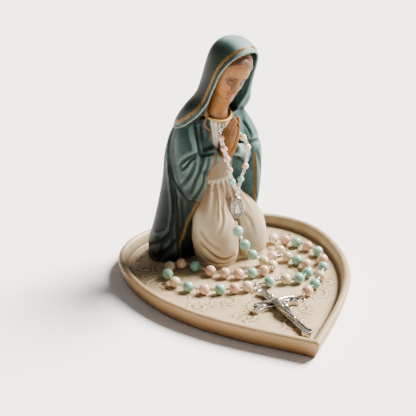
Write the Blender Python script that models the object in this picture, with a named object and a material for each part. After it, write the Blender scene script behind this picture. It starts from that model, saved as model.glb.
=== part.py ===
"""A kneeling praying woman in veil and mantle, cast in resin with a heart-shaped
tray, and the bead rosary that hangs round the hands and lies in the tray."""

import math

import bmesh
import bpy
from mathutils import Matrix, Vector

MM = 0.001

# Driving sizes, in millimetres
TOTAL_HEIGHT = 95.0
TRAY_HALF_WIDTH = 43.3
RIM_HEIGHT = 7.5
FLOOR_HEIGHT = 3.0
WALL_INSET = 3.2
GAP = 0.12
BEAD_RADIUS = 2.1
SMALL_BEAD_RADIUS = 1.3
WIRE_RADIUS = 0.3
BORE_RADIUS = 0.5
FIGURE_PLACE = Vector((-2.2, 26.5, 0.0))
FIGURE_TURN = math.radians(18.0)
SECTION_STEPS = 22
BEAD_STEPS = 10

# Places on the floor of the tray that the beads of the strand lie on, in order
LIE = FLOOR_HEIGHT + GAP + BEAD_RADIUS
MINT, PINK, CREAM = "mint", "pink", "cream"
STRAND = [
    (0.1, 14.0, 19.6, MINT), (3.4, 14.6, 12.9, MINT), (6.9, 15.0, 7.8, MINT),
    (10.9, 13.3, LIE, CREAM), (12.3, 8.6, LIE, CREAM), (7.5, 5.9, LIE, PINK),
    (2.5, 5.8, LIE, MINT), (-2.5, 7.1, LIE, PINK), (-7.1, 9.6, LIE, PINK),
    (-11.4, 13.4, LIE, PINK), (-15.3, 19.2, LIE, MINT), (-19.4, 23.4, LIE, PINK),
    (-24.4, 22.8, LIE, CREAM), (-27.4, 17.3, LIE, MINT), (-27.3, 9.9, LIE, CREAM),
    (-24.1, 4.5, LIE, MINT), (-19.3, 0.4, LIE, PINK), (-14.0, -1.9, LIE, MINT),
    (-8.7, -3.1, LIE, PINK), (-3.7, -3.7, LIE, CREAM), (5.5, -3.3, LIE, MINT),
    (12.1, -3.6, LIE, CREAM), (17.0, -5.0, LIE, MINT), (22.0, -2.2, LIE, MINT),
    (24.9, 4.5, LIE, PINK), (23.2, 9.0, LIE, MINT), (21.0, 13.4, LIE, CREAM),
    (16.0, 16.0, LIE, PINK), (20.8, 19.6, LIE, CREAM), (23.0, 30.4, LIE, CREAM),
    (26.9, 27.4, LIE, PINK), (30.0, 23.4, LIE, MINT), (32.5, 18.7, LIE, PINK),
    (34.1, 12.8, LIE, MINT), (32.6, 5.8, LIE, PINK), (29.8, -0.1, LIE, MINT),
    (25.4, -6.3, LIE, PINK), (20.4, -11.6, LIE, MINT), (15.4, -15.4, LIE, PINK),
]

STRAND_START = Vector((-0.8, 14.3, 23.7))
STRAND_END = Vector((12.9, -17.2, 4.4))

# The loop over the hands, in the figure's own directions: two sides that hang
# in a V from the thumbs, with the small beads marked True
HAND_LOOP = [
    (-2.0, -12.0, 36.6, False), (-4.0, -11.7, 40.3, True), (-5.2, -11.5, 45.2, True),
    (-6.6, -11.7, 50.1, True), (-7.5, -11.0, 54.1, True), (-7.6, -9.4, 57.9, True),
    (-5.4, -6.0, 59.0, False), (-2.8, -5.4, 59.0, False), (0.0, -6.0, 58.6, False),
    (3.2, -9.5, 55.6, True), (4.0, -11.2, 52.0, True), (2.5, -11.7, 44.9, True),
    (0.2, -11.8, 40.3, True), (-0.9, -12.0, 36.7, False),
]


def collection(name):
    made = bpy.data.collections.new(name)
    bpy.context.scene.collection.children.link(made)
    return made


for old in list(bpy.data.objects):
    bpy.data.objects.remove(old, do_unlink=True)
PARTS = collection("madonna_statue")
GUIDES = collection("cutters_and_guides")
FIGURE = bpy.data.objects.new("figure_place", None)
FIGURE.location = FIGURE_PLACE * MM
FIGURE.rotation_euler.z = FIGURE_TURN
GUIDES.objects.link(FIGURE)
FIGURE_MATRIX = Matrix.Translation(FIGURE_PLACE) @ Matrix.Rotation(FIGURE_TURN, 4, "Z")


def finish(name, color, roughness, metallic=0.0):
    made = bpy.data.materials.new(name)
    made.use_nodes = True
    shader = made.node_tree.nodes["Principled BSDF"]
    shader.inputs["Base Color"].default_value = (*color, 1.0)
    shader.inputs["Roughness"].default_value = roughness
    shader.inputs["Metallic"].default_value = metallic
    return made


IVORY = finish("ivory_resin", (0.74, 0.64, 0.50), 0.55)
GOWN = finish("cream_paint", (0.78, 0.70, 0.58), 0.55)
BLUE = finish("teal_paint", (0.13, 0.22, 0.23), 0.5)
VEIL_BLUE = finish("veil_teal_paint", (0.18, 0.28, 0.29), 0.5)
SKIN = finish("skin_paint", (0.70, 0.43, 0.27), 0.45)
HAIR = finish("auburn_paint", (0.22, 0.09, 0.05), 0.5)
GOLD = finish("gold_paint", (0.55, 0.33, 0.10), 0.4, 0.4)
SILVER = finish("antique_silver", (0.55, 0.53, 0.50), 0.3, 1.0)
PEARL = {
    MINT: finish("mint_pearl", (0.50, 0.72, 0.64), 0.2),
    PINK: finish("pink_pearl", (0.84, 0.64, 0.56), 0.2),
    CREAM: finish("cream_pearl", (0.84, 0.77, 0.62), 0.2),
}


def mesh_object(name, mesh, home=PARTS):
    made = bpy.data.objects.new(name, mesh)
    home.objects.link(made)
    if home is GUIDES:
        made.hide_render = True
        made.display_type = "WIRE"
    return made


def rehome(made, home):
    for old_home in list(made.users_collection):
        old_home.objects.unlink(made)
    home.objects.link(made)
    if home is GUIDES:
        made.hide_render = True
        made.display_type = "WIRE"


def loft(name, rings, home=PARTS):
    """A closed skin through rings of the same number of points, in millimetres."""
    build = bmesh.new()
    rows = [[build.verts.new(Vector(p) * MM) for p in ring] for ring in rings]
    count = len(rows[0])
    for low, high in zip(rows, rows[1:]):
        for i in range(count):
            j = (i + 1) % count
            build.faces.new((low[i], low[j], high[j], high[i]))
    build.faces.new(rows[0][::-1])
    build.faces.new(rows[-1])
    bmesh.ops.triangulate(build, faces=build.faces)
    bmesh.ops.recalc_face_normals(build, faces=build.faces)
    mesh = bpy.data.meshes.new(name)
    build.to_mesh(mesh)
    build.free()
    return mesh_object(name, mesh, home)


def dress(made, material, sharp=40.0):
    made.data.materials.clear()
    made.data.materials.append(material)
    made.data.shade_smooth()
    made.data.set_sharp_from_angle(angle=math.radians(sharp))
    return made


def on_figure(made):
    made.parent = FIGURE
    return made


def plan_ring(z, lobes, grow=0.0, steps=SECTION_STEPS, squareness=2.0):
    """The outline round a few ellipses (x, y, half width, half depth) at height z."""
    px = sum(lobe[0] for lobe in lobes) / len(lobes)
    py = sum(lobe[1] for lobe in lobes) / len(lobes)
    ring = []
    for i in range(steps):
        turn = 2.0 * math.pi * i / steps
        dx, dy = math.cos(turn), math.sin(turn)
        reach = 0.0
        for cx, cy, a, b in lobes:
            a, b = a + grow, b + grow
            ox, oy = px - cx, py - cy
            qa = (dx / a) ** 2 + (dy / b) ** 2
            qb = 2.0 * (ox * dx / a ** 2 + oy * dy / b ** 2)
            qc = (ox / a) ** 2 + (oy / b) ** 2 - 1.0
            under = qb * qb - 4.0 * qa * qc
            if under > 0.0:
                reach = max(reach, (-qb + math.sqrt(under)) / (2.0 * qa))
        ring.append((px + reach * dx, py + reach * dy, z))
    return ring


def plan_loft(name, levels, grow=0.0, home=PARTS, steps=SECTION_STEPS):
    """A body from its plan outlines, bottom to top; grow pushes every side out."""
    rings = []
    for number, (z, lobes) in enumerate(levels):
        if number == 0:
            z -= grow
        if number == len(levels) - 1:
            z += grow
        rings.append(plan_ring(z, lobes, grow, steps))
    return on_figure(loft(name, rings, home))


def limb(name, stations, grow=0.0, home=PARTS, steps=12):
    """A body along a bent line of stations (x, y, z, half width, half depth)."""
    centres = [Vector(s[:3]) for s in stations]
    rings = []
    for i, station in enumerate(stations):
        before = centres[max(i - 1, 0)]
        after = centres[min(i + 1, len(centres) - 1)]
        along = (after - before).normalized()
        across = Vector((1, 0, 0))
        side = (across - along * across.dot(along)).normalized()
        deep = along.cross(side)
        centre = centres[i].copy()
        if i == 0:
            centre -= along * grow
        if i == len(stations) - 1:
            centre += along * grow
        a, b = station[3] + grow, station[4] + grow
        ring = []
        for k in range(steps):
            turn = 2.0 * math.pi * k / steps
            ring.append(centre + side * (a * math.cos(turn)) + deep * (b * math.sin(turn)))
        rings.append(ring)
    return on_figure(loft(name, rings, home))


def prism(name, levels):
    """A cutter through polygons of the same number of corners."""
    return on_figure(loft(name, levels, GUIDES))


def combine(made, tool, operation):
    bpy.context.view_layer.update()
    step = made.modifiers.new(operation.lower(), "BOOLEAN")
    step.operation = operation
    step.solver = "EXACT"
    step.object = tool
    bpy.context.view_layer.update()
    shape = bpy.data.meshes.new_from_object(made.evaluated_get(bpy.context.evaluated_depsgraph_get()))
    made.modifiers.clear()
    made.data = shape
    return made


def cut(made, *tools):
    for tool in tools:
        combine(made, tool, "DIFFERENCE")
    return made


def largest_body(made):
    """Drop chips that a cut leaves beside the main body, and merge near points."""
    build = bmesh.new()
    build.from_mesh(made.data)
    bmesh.ops.remove_doubles(build, verts=build.verts, dist=0.00001)
    bmesh.ops.dissolve_degenerate(build, edges=build.edges, dist=0.00001)
    left = set(build.verts)
    bodies = []
    while left:
        queue = [left.pop()]
        body = set(queue)
        while queue:
            for edge in queue.pop().link_edges:
                for vert in edge.verts:
                    if vert in left:
                        left.discard(vert)
                        body.add(vert)
                        queue.append(vert)
        bodies.append(body)
    bodies.sort(key=len)
    for body in bodies[:-1]:
        bmesh.ops.delete(build, geom=list(body), context="VERTS")
    bmesh.ops.triangulate(build, faces=build.faces)
    build.to_mesh(made.data)
    build.free()
    return made


# Heart-shaped tray

def bezier(a, b, c, d, count):
    points = []
    for i in range(count):
        t = i / count
        s = 1.0 - t
        points.append(a * s ** 3 + b * (3 * t * s * s) + c * (3 * t * t * s) + d * t ** 3)
    return points


def heart_outline():
    """From the notch over the right lobe to the tip, then back up the left side."""
    w = TRAY_HALF_WIDTH
    notch, tip, waist = Vector((0, 46.0)), Vector((0, -54.8)), Vector((w, 22.0))
    right = bezier(notch, Vector((10.8, 64.9)), Vector((w, 51.6)), waist, 15)
    right += bezier(waist, Vector((w, -13.9)), Vector((20.2, -33.4)), tip, 13)
    left = [Vector((-p.x, p.y)) for p in right[1:]][::-1]
    return (right + [tip] + left)[::-1]


def inset(outline, amount):
    count = len(outline)
    moved = []
    for i, point in enumerate(outline):
        before = (point - outline[i - 1]).normalized()
        after = (outline[(i + 1) % count] - point).normalized()
        normal = Vector((-before.y - after.y, before.x + after.x)).normalized()
        stretch = max(normal.dot(Vector((-before.y, before.x))), 0.5)
        moved.append(point + normal * (amount / stretch))
    return moved


def heart_tray():
    outline = heart_outline()
    levels = [
        (2.2, 0.0), (1.9, 0.35), (0.2, 5.4), (0.0, 6.6), (0.55, 7.3), (1.2, RIM_HEIGHT),
        (2.1, 7.2), (2.7, 6.4), (WALL_INSET, 4.4), (WALL_INSET + 0.9, FLOOR_HEIGHT),
    ]
    rings = [[(p.x, p.y, z) for p in inset(outline, amount)] for amount, z in levels]
    return dress(loft("heart_tray", rings), IVORY)


# Figure

SKIRT = [
    (3.12, [(-1.5, -0.5, 7.5, 7.6), (12.5, -0.5, 8.2, 8.6), (5, 2, 13.5, 8.5)]),
    (8.0, [(-2.2, -1.2, 8.6, 8.8), (12.0, -1.3, 8.8, 9.2), (5, 2, 14.2, 8.5)]),
    (14.0, [(-3.0, -1.2, 9.0, 8.8), (11.4, -1.2, 9.2, 9.0), (4, 2, 14.5, 8.5)]),
    (20.0, [(-3.8, -1.2, 8.8, 7.8), (9.8, -1.0, 9.0, 8.0), (3, 2, 13, 8)]),
    (26.0, [(-4.6, -0.4, 7.6, 6.6), (6.5, -0.3, 7.8, 6.8), (1, 2, 12, 7.5)]),
    (32.0, [(-4.0, 0.5, 6.6, 5.8), (2.0, 0.5, 6.6, 5.8), (-1, 2, 10, 7)]),
    (38.5, [(-2.2, 2, 8.5, 6.2), (-2.2, 2, 8.5, 6.2), (-2.2, 2, 8.5, 6.2)]),
]
BODICE = [
    (38.62, [(-2.2, 2.0, 8.6, 6.3)]),
    (46.0, [(-2.3, 2.0, 9.0, 6.4)]),
    (54.0, [(-2.4, 2.2, 9.6, 6.6)]),
    (60.0, [(-2.4, 2.4, 9.0, 6.4)]),
    (63.6, [(-2.4, 2.4, 6.6, 5.4)]),
]
MANTLE = [
    (3.12, [(5.5, 2.0, 17.0, 9.6), (-9.5, 14.6, 11.5, 10.0)]),
    (10.0, [(5.0, 2.6, 17.4, 10.4), (-9.0, 14.0, 12.3, 10.0)]),
    (18.0, [(4.0, 3.4, 17.5, 11.0), (-7.5, 12.6, 12.5, 9.5)]),
    (28.0, [(2.0, 3.5, 17.5, 11.0), (-5.5, 11.2, 13.2, 8.5)]),
    (38.0, [(0.0, 3.5, 17.5, 11.0), (-3.5, 10.0, 14.0, 8.0)]),
    (48.0, [(-0.5, 3.5, 17.0, 10.4), (-2.5, 9.0, 14.5, 8.0)]),
    (56.0, [(-0.5, 4.0, 16.2, 9.4), (-1.5, 8.0, 13.5, 7.5)]),
    (61.6, [(-0.6, 4.5, 14.8, 8.4), (-1.0, 7.0, 12.5, 7.0)]),
]
VEIL = [
    (61.8, [(-0.5, 4.2, 15.8, 9.6)]),
    (67.0, [(-0.7, 0.5, 13.8, 10.0)]),
    (72.0, [(-0.9, -3.3, 11.4, 10.8)]),
    (78.0, [(-1.0, -6.3, 10.2, 11.3)]),
    (84.0, [(-1.0, -8.0, 9.7, 11.0)]),
    (89.5, [(-0.9, -8.4, 8.4, 9.4)]),
    (93.2, [(-0.8, -8.3, 5.6, 6.4)]),
    (TOTAL_HEIGHT, [(-0.8, -8.2, 1.8, 2.0)]),
]
HOLLOW = [
    (61.0, [(-1.5, 1.5, 9.5, 7.0)]),
    (67.0, [(-1.6, -0.6, 9.6, 8.2)]),
    (72.0, [(-1.4, -4.2, 9.4, 9.2)]),
    (78.0, [(-1.2, -7.2, 8.8, 10.0)]),
    (84.0, [(-1.0, -8.8, 8.3, 9.8)]),
    (89.5, [(-0.9, -9.0, 6.8, 8.0)]),
    (92.6, [(-0.9, -9.0, 3.6, 4.4)]),
]
HEAD = [
    (-2.4, 0.6, 63.2, 3.9, 3.9), (-2.6, -1.2, 66.5, 3.4, 3.6), (-2.9, -3.4, 70.4, 3.4, 4.0),
    (-3.0, -7.2, 73.4, 3.8, 5.4), (-2.5, -9.6, 77.0, 5.6, 7.4), (-1.6, -10.0, 81.0, 6.4, 8.2),
    (-1.0, -9.8, 85.0, 6.4, 7.8), (-0.8, -9.2, 88.4, 4.9, 5.6), (-0.8, -8.8, 90.6, 2.2, 2.6),
]
SLEEVE_RIGHT = (
    [(-10.6, 3.8, 61.2, 4.0, 4.4), (-12.8, 2.8, 55.0, 5.0, 5.8), (-13.6, 1.2, 48.0, 5.2, 6.6),
     (-13.2, 0.0, 40.0, 5.2, 6.4), (-12.8, -0.2, 35.0, 3.6, 4.4)],
    [(-13.0, -1.0, 45.0, 4.6, 4.6), (-10.0, -4.4, 48.0, 3.9, 4.2), (-6.8, -7.2, 50.6, 2.8, 2.9)],
)
SLEEVE_LEFT = (
    [(9.2, 3.4, 61.2, 4.0, 4.4), (11.6, 1.8, 55.0, 5.0, 5.8), (13.2, -0.4, 48.0, 4.8, 6.2),
     (14.0, -1.6, 40.0, 4.2, 5.6), (14.6, -1.6, 31.0, 2.8, 4.0)],
    [(12.6, -2.4, 44.6, 4.4, 4.4), (7.4, -5.6, 47.6, 3.6, 3.8), (2.2, -7.6, 50.2, 2.7, 2.8)],
)
HAND_RIGHT = [
    (-5.0, -6.8, 49.0, 1.5, 2.3), (-4.7, -7.6, 52.0, 1.55, 3.0), (-4.45, -9.0, 55.6, 1.5, 3.2),
    (-4.25, -10.6, 59.6, 1.25, 2.7), (-3.95, -12.2, 63.4, 0.95, 1.9), (-3.7, -13.2, 65.8, 0.6, 0.9),
]
SHOULDER_LINE = 61.7


def skirt():
    made = plan_loft("gown_skirt", SKIRT, steps=32)
    return dress(made, GOWN)


def bodice():
    return dress(cut(plan_loft("gown_bodice", BODICE), neck_room()), GOWN)


def neck_room():
    return limb("neck_room", HEAD, GAP, GUIDES, 16)


def hands():
    for name, mirror in (("hand_right", 1.0), ("hand_left", -1.0)):
        made = limb(name, hand_stations(mirror))
        dress(made, SKIN)


def hand_stations(mirror):
    """The right hand, or its mirror image across the plane where the palms meet."""
    palm = -2.8
    return [(palm + mirror * (x - palm), y, z, a, b) for x, y, z, a, b in HAND_RIGHT]


def sleeves():
    for name, arm, mirror in (("sleeve_right", SLEEVE_RIGHT, 1.0), ("sleeve_left", SLEEVE_LEFT, -1.0)):
        upper, fore = arm
        made = combine(limb(name, upper), limb("forearm_shape", fore, 0.0, GUIDES), "UNION")
        hand_room = limb("hand_room", hand_stations(mirror), GAP, GUIDES)
        cut(made, plan_loft("bodice_room", BODICE, GAP, GUIDES), hand_room)
        cut(made, plan_loft("skirt_room", SKIRT, GAP, GUIDES, 32))
        cut(made, plan_loft("veil_room", VEIL, GAP, GUIDES, 28))
        dress(largest_body(made), BLUE)


def mantle():
    made = plan_loft("mantle", MANTLE, steps=28)
    left = [
        (3.0, (-12.5, 8.2)), (6.5, (-13.8, 7.0)), (15.2, (-14.6, 4.6)), (22.1, (-14.0, 2.0)),
        (29.1, (-13.4, -2.0)), (36.8, (-11.6, -5.0)), (44.5, (-10.0, -6.2)), (63.0, (-8.4, -6.0)),
    ]
    right = [(18, 9), (19, 8), (19.5, 4), (17.4, -1.5), (16, -3), (15, -4), (13.6, -5), (5.0, -6)]
    levels = []
    for (z, (x, y)), (rx, ry) in zip(left, right):
        levels.append([(x, y, z), (-34, -34, z), (34, -34, z), (rx, ry, z), (1.0, 5.0, z)])
    tools = [
        prism("front_opening", levels),
        plan_loft("skirt_room", SKIRT, GAP, GUIDES, 32),
        plan_loft("bodice_room", BODICE, GAP, GUIDES),
        neck_room(),
    ]
    tools += [limb("sleeve_room", half, GAP, GUIDES) for half in SLEEVE_RIGHT + SLEEVE_LEFT]
    return dress(largest_body(cut(made, *tools)), BLUE)


def veil():
    made = plan_loft("veil", VEIL, steps=28)
    profile = [(-17.0, 90.6), (-10.0, 82.0), (-6.0, 72.0), (-4.6, 66.0), (-4.0, 60.0), (-40, 60.0), (-40, 90.6)]
    opening = prism("face_opening", [[(x, y, z) for y, z in profile] for x in (-13.0, 11.0)])
    tools = [plan_loft("veil_hollow", HOLLOW, 0.0, GUIDES), opening]
    tools.append(plan_loft("bodice_room", BODICE, GAP, GUIDES))
    return dress(largest_body(cut(made, *tools)), VEIL_BLUE)


def head():
    return dress(limb("head", HEAD, steps=16), SKIN)


def hair():
    """A close cap between the head and the veil, open at the face."""
    levels = []
    for z, lobes in HOLLOW[1:]:
        cx, cy, a, b = lobes[0]
        levels.append((z, [(cx, cy, a - GAP, b - GAP)]))
    levels[-1] = (92.6 - GAP, levels[-1][1])
    made = plan_loft("hair", levels)
    profile = [(-15.5, 89.0), (-12.0, 82.0), (-8.0, 74.0), (-4.0, 68.0), (-4.0, 60.0), (-40, 60.0), (-40, 89.0)]
    opening = prism("hairline", [[(x, y, z) for y, z in profile] for x in (-12.0, 12.0)])
    cut(made, opening, neck_room())
    return dress(largest_body(made), HAIR)


def hair_lock():
    path = [
        (-8.4, -5.6, 67.4, 0.8, 0.8), (-9.0, -5.4, 64.5, 1.0, 1.0), (-9.6, -5.6, 60.0, 1.0, 1.0),
        (-8.8, -5.8, 56.6, 0.8, 0.8),
    ]
    made = limb("hair_lock", path, steps=8)
    cut(made, plan_loft("bodice_room", BODICE, GAP, GUIDES))
    cut(made, plan_loft("mantle_room", MANTLE, GAP, GUIDES, 28))
    return dress(largest_body(made), HAIR)


def collar():
    bpy.ops.mesh.primitive_torus_add(
        major_radius=4.75 * MM, minor_radius=0.55 * MM, major_segments=24, minor_segments=8)
    made = bpy.context.object
    made.name = "collar"
    rehome(made, PARTS)
    made.location = Vector((-2.5, -0.1, 64.8)) * MM
    made.rotation_euler.x = math.radians(16.0)
    on_figure(made)
    return dress(made, GOLD)


# Rosary

def bead(name, place, direction, radius, material):
    """A drilled round bead, turned about its bore."""
    points = []
    edge = math.acos(BORE_RADIUS / radius)
    for i in range(6):
        tilt = edge - 2.0 * edge * i / 5
        points.append((radius * math.cos(tilt), radius * math.sin(tilt)))
    build = bmesh.new()
    rows = [build.verts.new((x * MM, 0.0, z * MM)) for x, z in points]
    rows.append(rows[0])
    edges = [build.edges.new((a, b)) for a, b in zip(rows, rows[1:])]
    bmesh.ops.spin(build, geom=edges, cent=(0, 0, 0), axis=(0, 0, 1), dvec=(0, 0, 0),
                   angle=2.0 * math.pi, steps=BEAD_STEPS, use_merge=True)
    bmesh.ops.remove_doubles(build, verts=build.verts, dist=0.000001)
    bmesh.ops.recalc_face_normals(build, faces=build.faces)
    mesh = bpy.data.meshes.new(name)
    build.to_mesh(mesh)
    build.free()
    made = mesh_object(name, mesh)
    made.location = place * MM
    made.rotation_euler = direction.to_track_quat("Z", "Y").to_euler()
    return dress(made, material, 60.0)


def tube(name, points, radius, home=PARTS):
    """A round wire along a line of points, closed at both ends."""
    curve = bpy.data.curves.new(name + "_line", "CURVE")
    curve.dimensions = "3D"
    curve.bevel_depth = radius * MM
    curve.bevel_resolution = 1
    curve.use_fill_caps = True
    spline = curve.splines.new("POLY")
    spline.points.add(len(points) - 1)
    for slot, point in zip(spline.points, points):
        slot.co = (*(Vector(point) * MM), 1.0)
    guide = mesh_object(name + "_line", curve, GUIDES)
    bpy.context.view_layer.update()
    mesh = bpy.data.meshes.new_from_object(guide.evaluated_get(bpy.context.evaluated_depsgraph_get()))
    build = bmesh.new()
    build.from_mesh(mesh)
    bmesh.ops.remove_doubles(build, verts=build.verts, dist=0.000001)
    bmesh.ops.recalc_face_normals(build, faces=build.faces)
    build.to_mesh(mesh)
    build.free()
    return mesh_object(name, mesh, home)


def strand_route():
    """Each bead's place and the way its bore points, and the line of the wire."""
    places = [Vector(row[:3]) for row in STRAND]
    stops = [STRAND_START] + places + [STRAND_END]
    ways = []
    line = [STRAND_START]
    for before, place, after in zip(stops, places, stops[2:]):
        coming = (place - before).normalized()
        going = (after - place).normalized()
        way = (coming + going).normalized()
        sharpness = max(0.7 - coming.dot(going), 0.0)
        reach = BEAD_RADIUS + 0.1 + 0.3 * sharpness
        line += [place - way * reach, place + way * reach]
        ways.append(way)
    return places, ways, line + [STRAND_END]


def strand():
    places, ways, line = strand_route()
    for number, (place, way) in enumerate(zip(places, ways)):
        shade = STRAND[number][3]
        bead("bead_%02d_%s" % (number + 1, shade), place, way, BEAD_RADIUS, PEARL[shade])
    return dress(tube("strand_chain", line, WIRE_RADIUS), SILVER)


def hand_loop():
    """The wire over the hands with its nine small beads closed tight on it."""
    places = [FIGURE_MATRIX @ Vector(row[:3]) for row in HAND_LOOP]
    made = tube("hand_loop", places, WIRE_RADIUS)
    for place, row in zip(places, HAND_LOOP):
        if row[3]:
            bpy.ops.mesh.primitive_uv_sphere_add(
                segments=8, ring_count=6, radius=SMALL_BEAD_RADIUS * MM, location=place * MM)
            ball = bpy.context.object
            ball.name = "small_bead_shape"
            rehome(ball, GUIDES)
            combine(made, ball, "UNION")
    return dress(largest_body(made), PEARL[PINK])


def torus(name, place, turn, major, minor, material, steps=(16, 8), home=PARTS):
    bpy.ops.mesh.primitive_torus_add(
        major_radius=major * MM, minor_radius=minor * MM,
        major_segments=steps[0], minor_segments=steps[1])
    made = bpy.context.object
    made.name = name
    rehome(made, home)
    made.location = Vector(place) * MM
    made.rotation_euler = turn
    return dress(made, material)


def medal():
    """A pointed oval plate that hangs between the loop and the strand."""
    outline = []
    for i in range(20):
        turn = 2.0 * math.pi * i / 20
        outline.append((2.6 * math.copysign(abs(math.cos(turn)) ** 1.25, math.cos(turn)),
                        4.4 * math.sin(turn)))
    rings = []
    for depth, scale in ((-0.45, 0.92), (-0.3, 1.0), (0.3, 1.0), (0.45, 0.92)):
        rings.append([(x * scale, depth, z * scale) for x, z in outline])
    made = loft("medal", rings)
    made.location = (FIGURE_MATRIX @ Vector((-1.5, -12.0, 29.2))) * MM
    made.rotation_euler = (0.0, 0.0, math.radians(-18.0))
    return dress(made, SILVER)


CROSS_PLACE = Vector((0.6, -19.4, 4.1))
CROSS_TURN = math.radians(3.0)


def cross_bar(name, length, width, depth, flare, home=PARTS):
    """One bar of the cross, along Y, with ends that widen."""
    rings = []
    for step, wide in ((-0.5, flare), (-0.42, flare), (-0.36, 1.0), (0.36, 1.0), (0.42, flare), (0.5, flare)):
        half = width * 0.5 * wide
        y = length * step
        rings.append([(-half, y, -depth), (half, y, -depth), (half, y, depth), (-half, y, depth)])
    return loft(name, rings, home)


def crucifix():
    upright = cross_bar("cross", 36.8, 2.7, 0.85, 1.45)
    bar = cross_bar("cross_bar_shape", 19.6, 2.5, 0.85, 1.45, GUIDES)
    upright.location = (CROSS_PLACE + Vector((0.3, -5.6, 0.0))) * MM
    upright.rotation_euler.z = CROSS_TURN
    bar.location = CROSS_PLACE * MM
    bar.rotation_euler.z = CROSS_TURN + math.radians(90.0)
    eye = torus("cross_eye_shape", (-0.3, -5.9, 4.35), (0, 0, 0), 1.25, 0.3, SILVER, home=GUIDES)
    combine(upright, bar, "UNION")
    combine(upright, eye, "UNION")
    dress(largest_body(upright), SILVER)
    body = limb_on_cross()
    return upright, body


def limb_on_cross():
    """The figure on the cross: head, trunk, legs and both arms in one casting."""
    height = CROSS_PLACE.z + 0.85 + 0.1
    trunk = [
        (0.2, 3.6, 0.9, 0.7), (0.2, 2.2, 1.3, 0.9), (0.0, -0.6, 1.35, 0.95), (0.0, -4.5, 1.0, 0.85),
        (0.1, -9.5, 0.85, 0.8), (0.0, -14.0, 0.6, 0.6),
    ]
    turn = Matrix.Translation(CROSS_PLACE) @ Matrix.Rotation(CROSS_TURN, 4, "Z")
    rings = []
    for x, y, wide, tall in trunk:
        ring = []
        for k in range(10):
            angle = 2.0 * math.pi * k / 10
            z = max(math.sin(angle), 0.0) * tall * 1.4
            ring.append(turn @ Vector((x + wide * math.cos(angle), y, z + height - CROSS_PLACE.z)))
        rings.append(ring)
    made = loft("corpus", rings)
    for side in (-1.0, 1.0):
        arm = []
        for reach, wide in ((0.4, 0.55), (4.0, 0.5), (7.6, 0.42)):
            ring = []
            for k in range(8):
                angle = 2.0 * math.pi * k / 8
                y = 1.2 + 0.06 * reach + wide * math.cos(angle)
                z = height - CROSS_PLACE.z + max(math.sin(angle), 0.0) * wide * 1.7
                ring.append(turn @ Vector((side * reach, y, z)))
            arm.append(ring)
        combine(made, loft("arm_shape", arm, GUIDES), "UNION")
    return dress(largest_body(made), SILVER)


heart_tray()
skirt()
bodice()
mantle()
veil()
head()
hair()
hair_lock()
collar()
sleeves()
hands()
strand()
hand_loop()
medal()
crucifix()
torus("crucifix_ring", (-0.3, -4.05, 4.75), (0.0, math.radians(90.0), 0.0), 1.35, 0.22, SILVER, (14, 8))
torus("strand_end_ring", (12.2, -18.0, 3.7), (0.0, 0.0, 0.0), 0.95, 0.25, SILVER, (12, 8))
torus("loop_connector", FIGURE_MATRIX @ Vector((-1.45, -12.0, 34.95)), (math.radians(90.0), 0.0, math.radians(-18.0)),
      0.85, 0.25, SILVER, (12, 8))
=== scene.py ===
import math

import bmesh
import bpy
import numpy as np
from mathutils import Matrix, Vector
from mathutils.bvhtree import BVHTree


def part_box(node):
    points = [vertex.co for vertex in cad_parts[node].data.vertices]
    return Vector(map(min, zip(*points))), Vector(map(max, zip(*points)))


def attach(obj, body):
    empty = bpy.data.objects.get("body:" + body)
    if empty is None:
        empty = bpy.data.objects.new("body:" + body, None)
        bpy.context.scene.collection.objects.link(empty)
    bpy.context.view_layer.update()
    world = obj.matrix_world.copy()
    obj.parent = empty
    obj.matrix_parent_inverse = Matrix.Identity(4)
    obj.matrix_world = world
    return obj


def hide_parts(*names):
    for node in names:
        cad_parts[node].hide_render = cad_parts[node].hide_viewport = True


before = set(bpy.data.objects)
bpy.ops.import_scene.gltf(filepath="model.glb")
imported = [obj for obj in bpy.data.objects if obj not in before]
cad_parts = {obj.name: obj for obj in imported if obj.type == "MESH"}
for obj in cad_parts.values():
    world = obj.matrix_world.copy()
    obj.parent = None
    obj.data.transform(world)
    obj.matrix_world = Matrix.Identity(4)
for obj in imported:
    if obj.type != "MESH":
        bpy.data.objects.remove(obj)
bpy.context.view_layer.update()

MM = 0.001

# ---------------------------------------------------------------- camera
# The eye stands well above the rim and off to the statue's right-hand side, with a long
# lens, so that the heart keeps its shape and the whole tray shows.

VIEW_TARGET = Vector((-19.7, -4.0, 40.0)) * MM
VIEW_TURN = math.radians(-22.6)
VIEW_RISE = math.radians(24.0)
VIEW_DISTANCE = 450.0 * MM

view_back = Vector((math.sin(VIEW_TURN) * math.cos(VIEW_RISE),
                    -math.cos(VIEW_TURN) * math.cos(VIEW_RISE), math.sin(VIEW_RISE)))
lens = bpy.data.cameras.new("view")
lens.lens = 109.3
lens.sensor_width = 36.0
lens.clip_start = 0.01
camera = bpy.data.objects.new("view", lens)
camera.location = VIEW_TARGET + view_back * VIEW_DISTANCE
camera.rotation_euler = view_back.to_track_quat("Z", "Y").to_euler()
bpy.context.scene.collection.objects.link(camera)
bpy.context.scene.camera = camera

# ---------------------------------------------------------------- silver of the rosary
# Links, medal, cross and its figure are base metal castings and wire, silver plated,
# then dipped in a dark patina that is wiped off every raised place.


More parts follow.
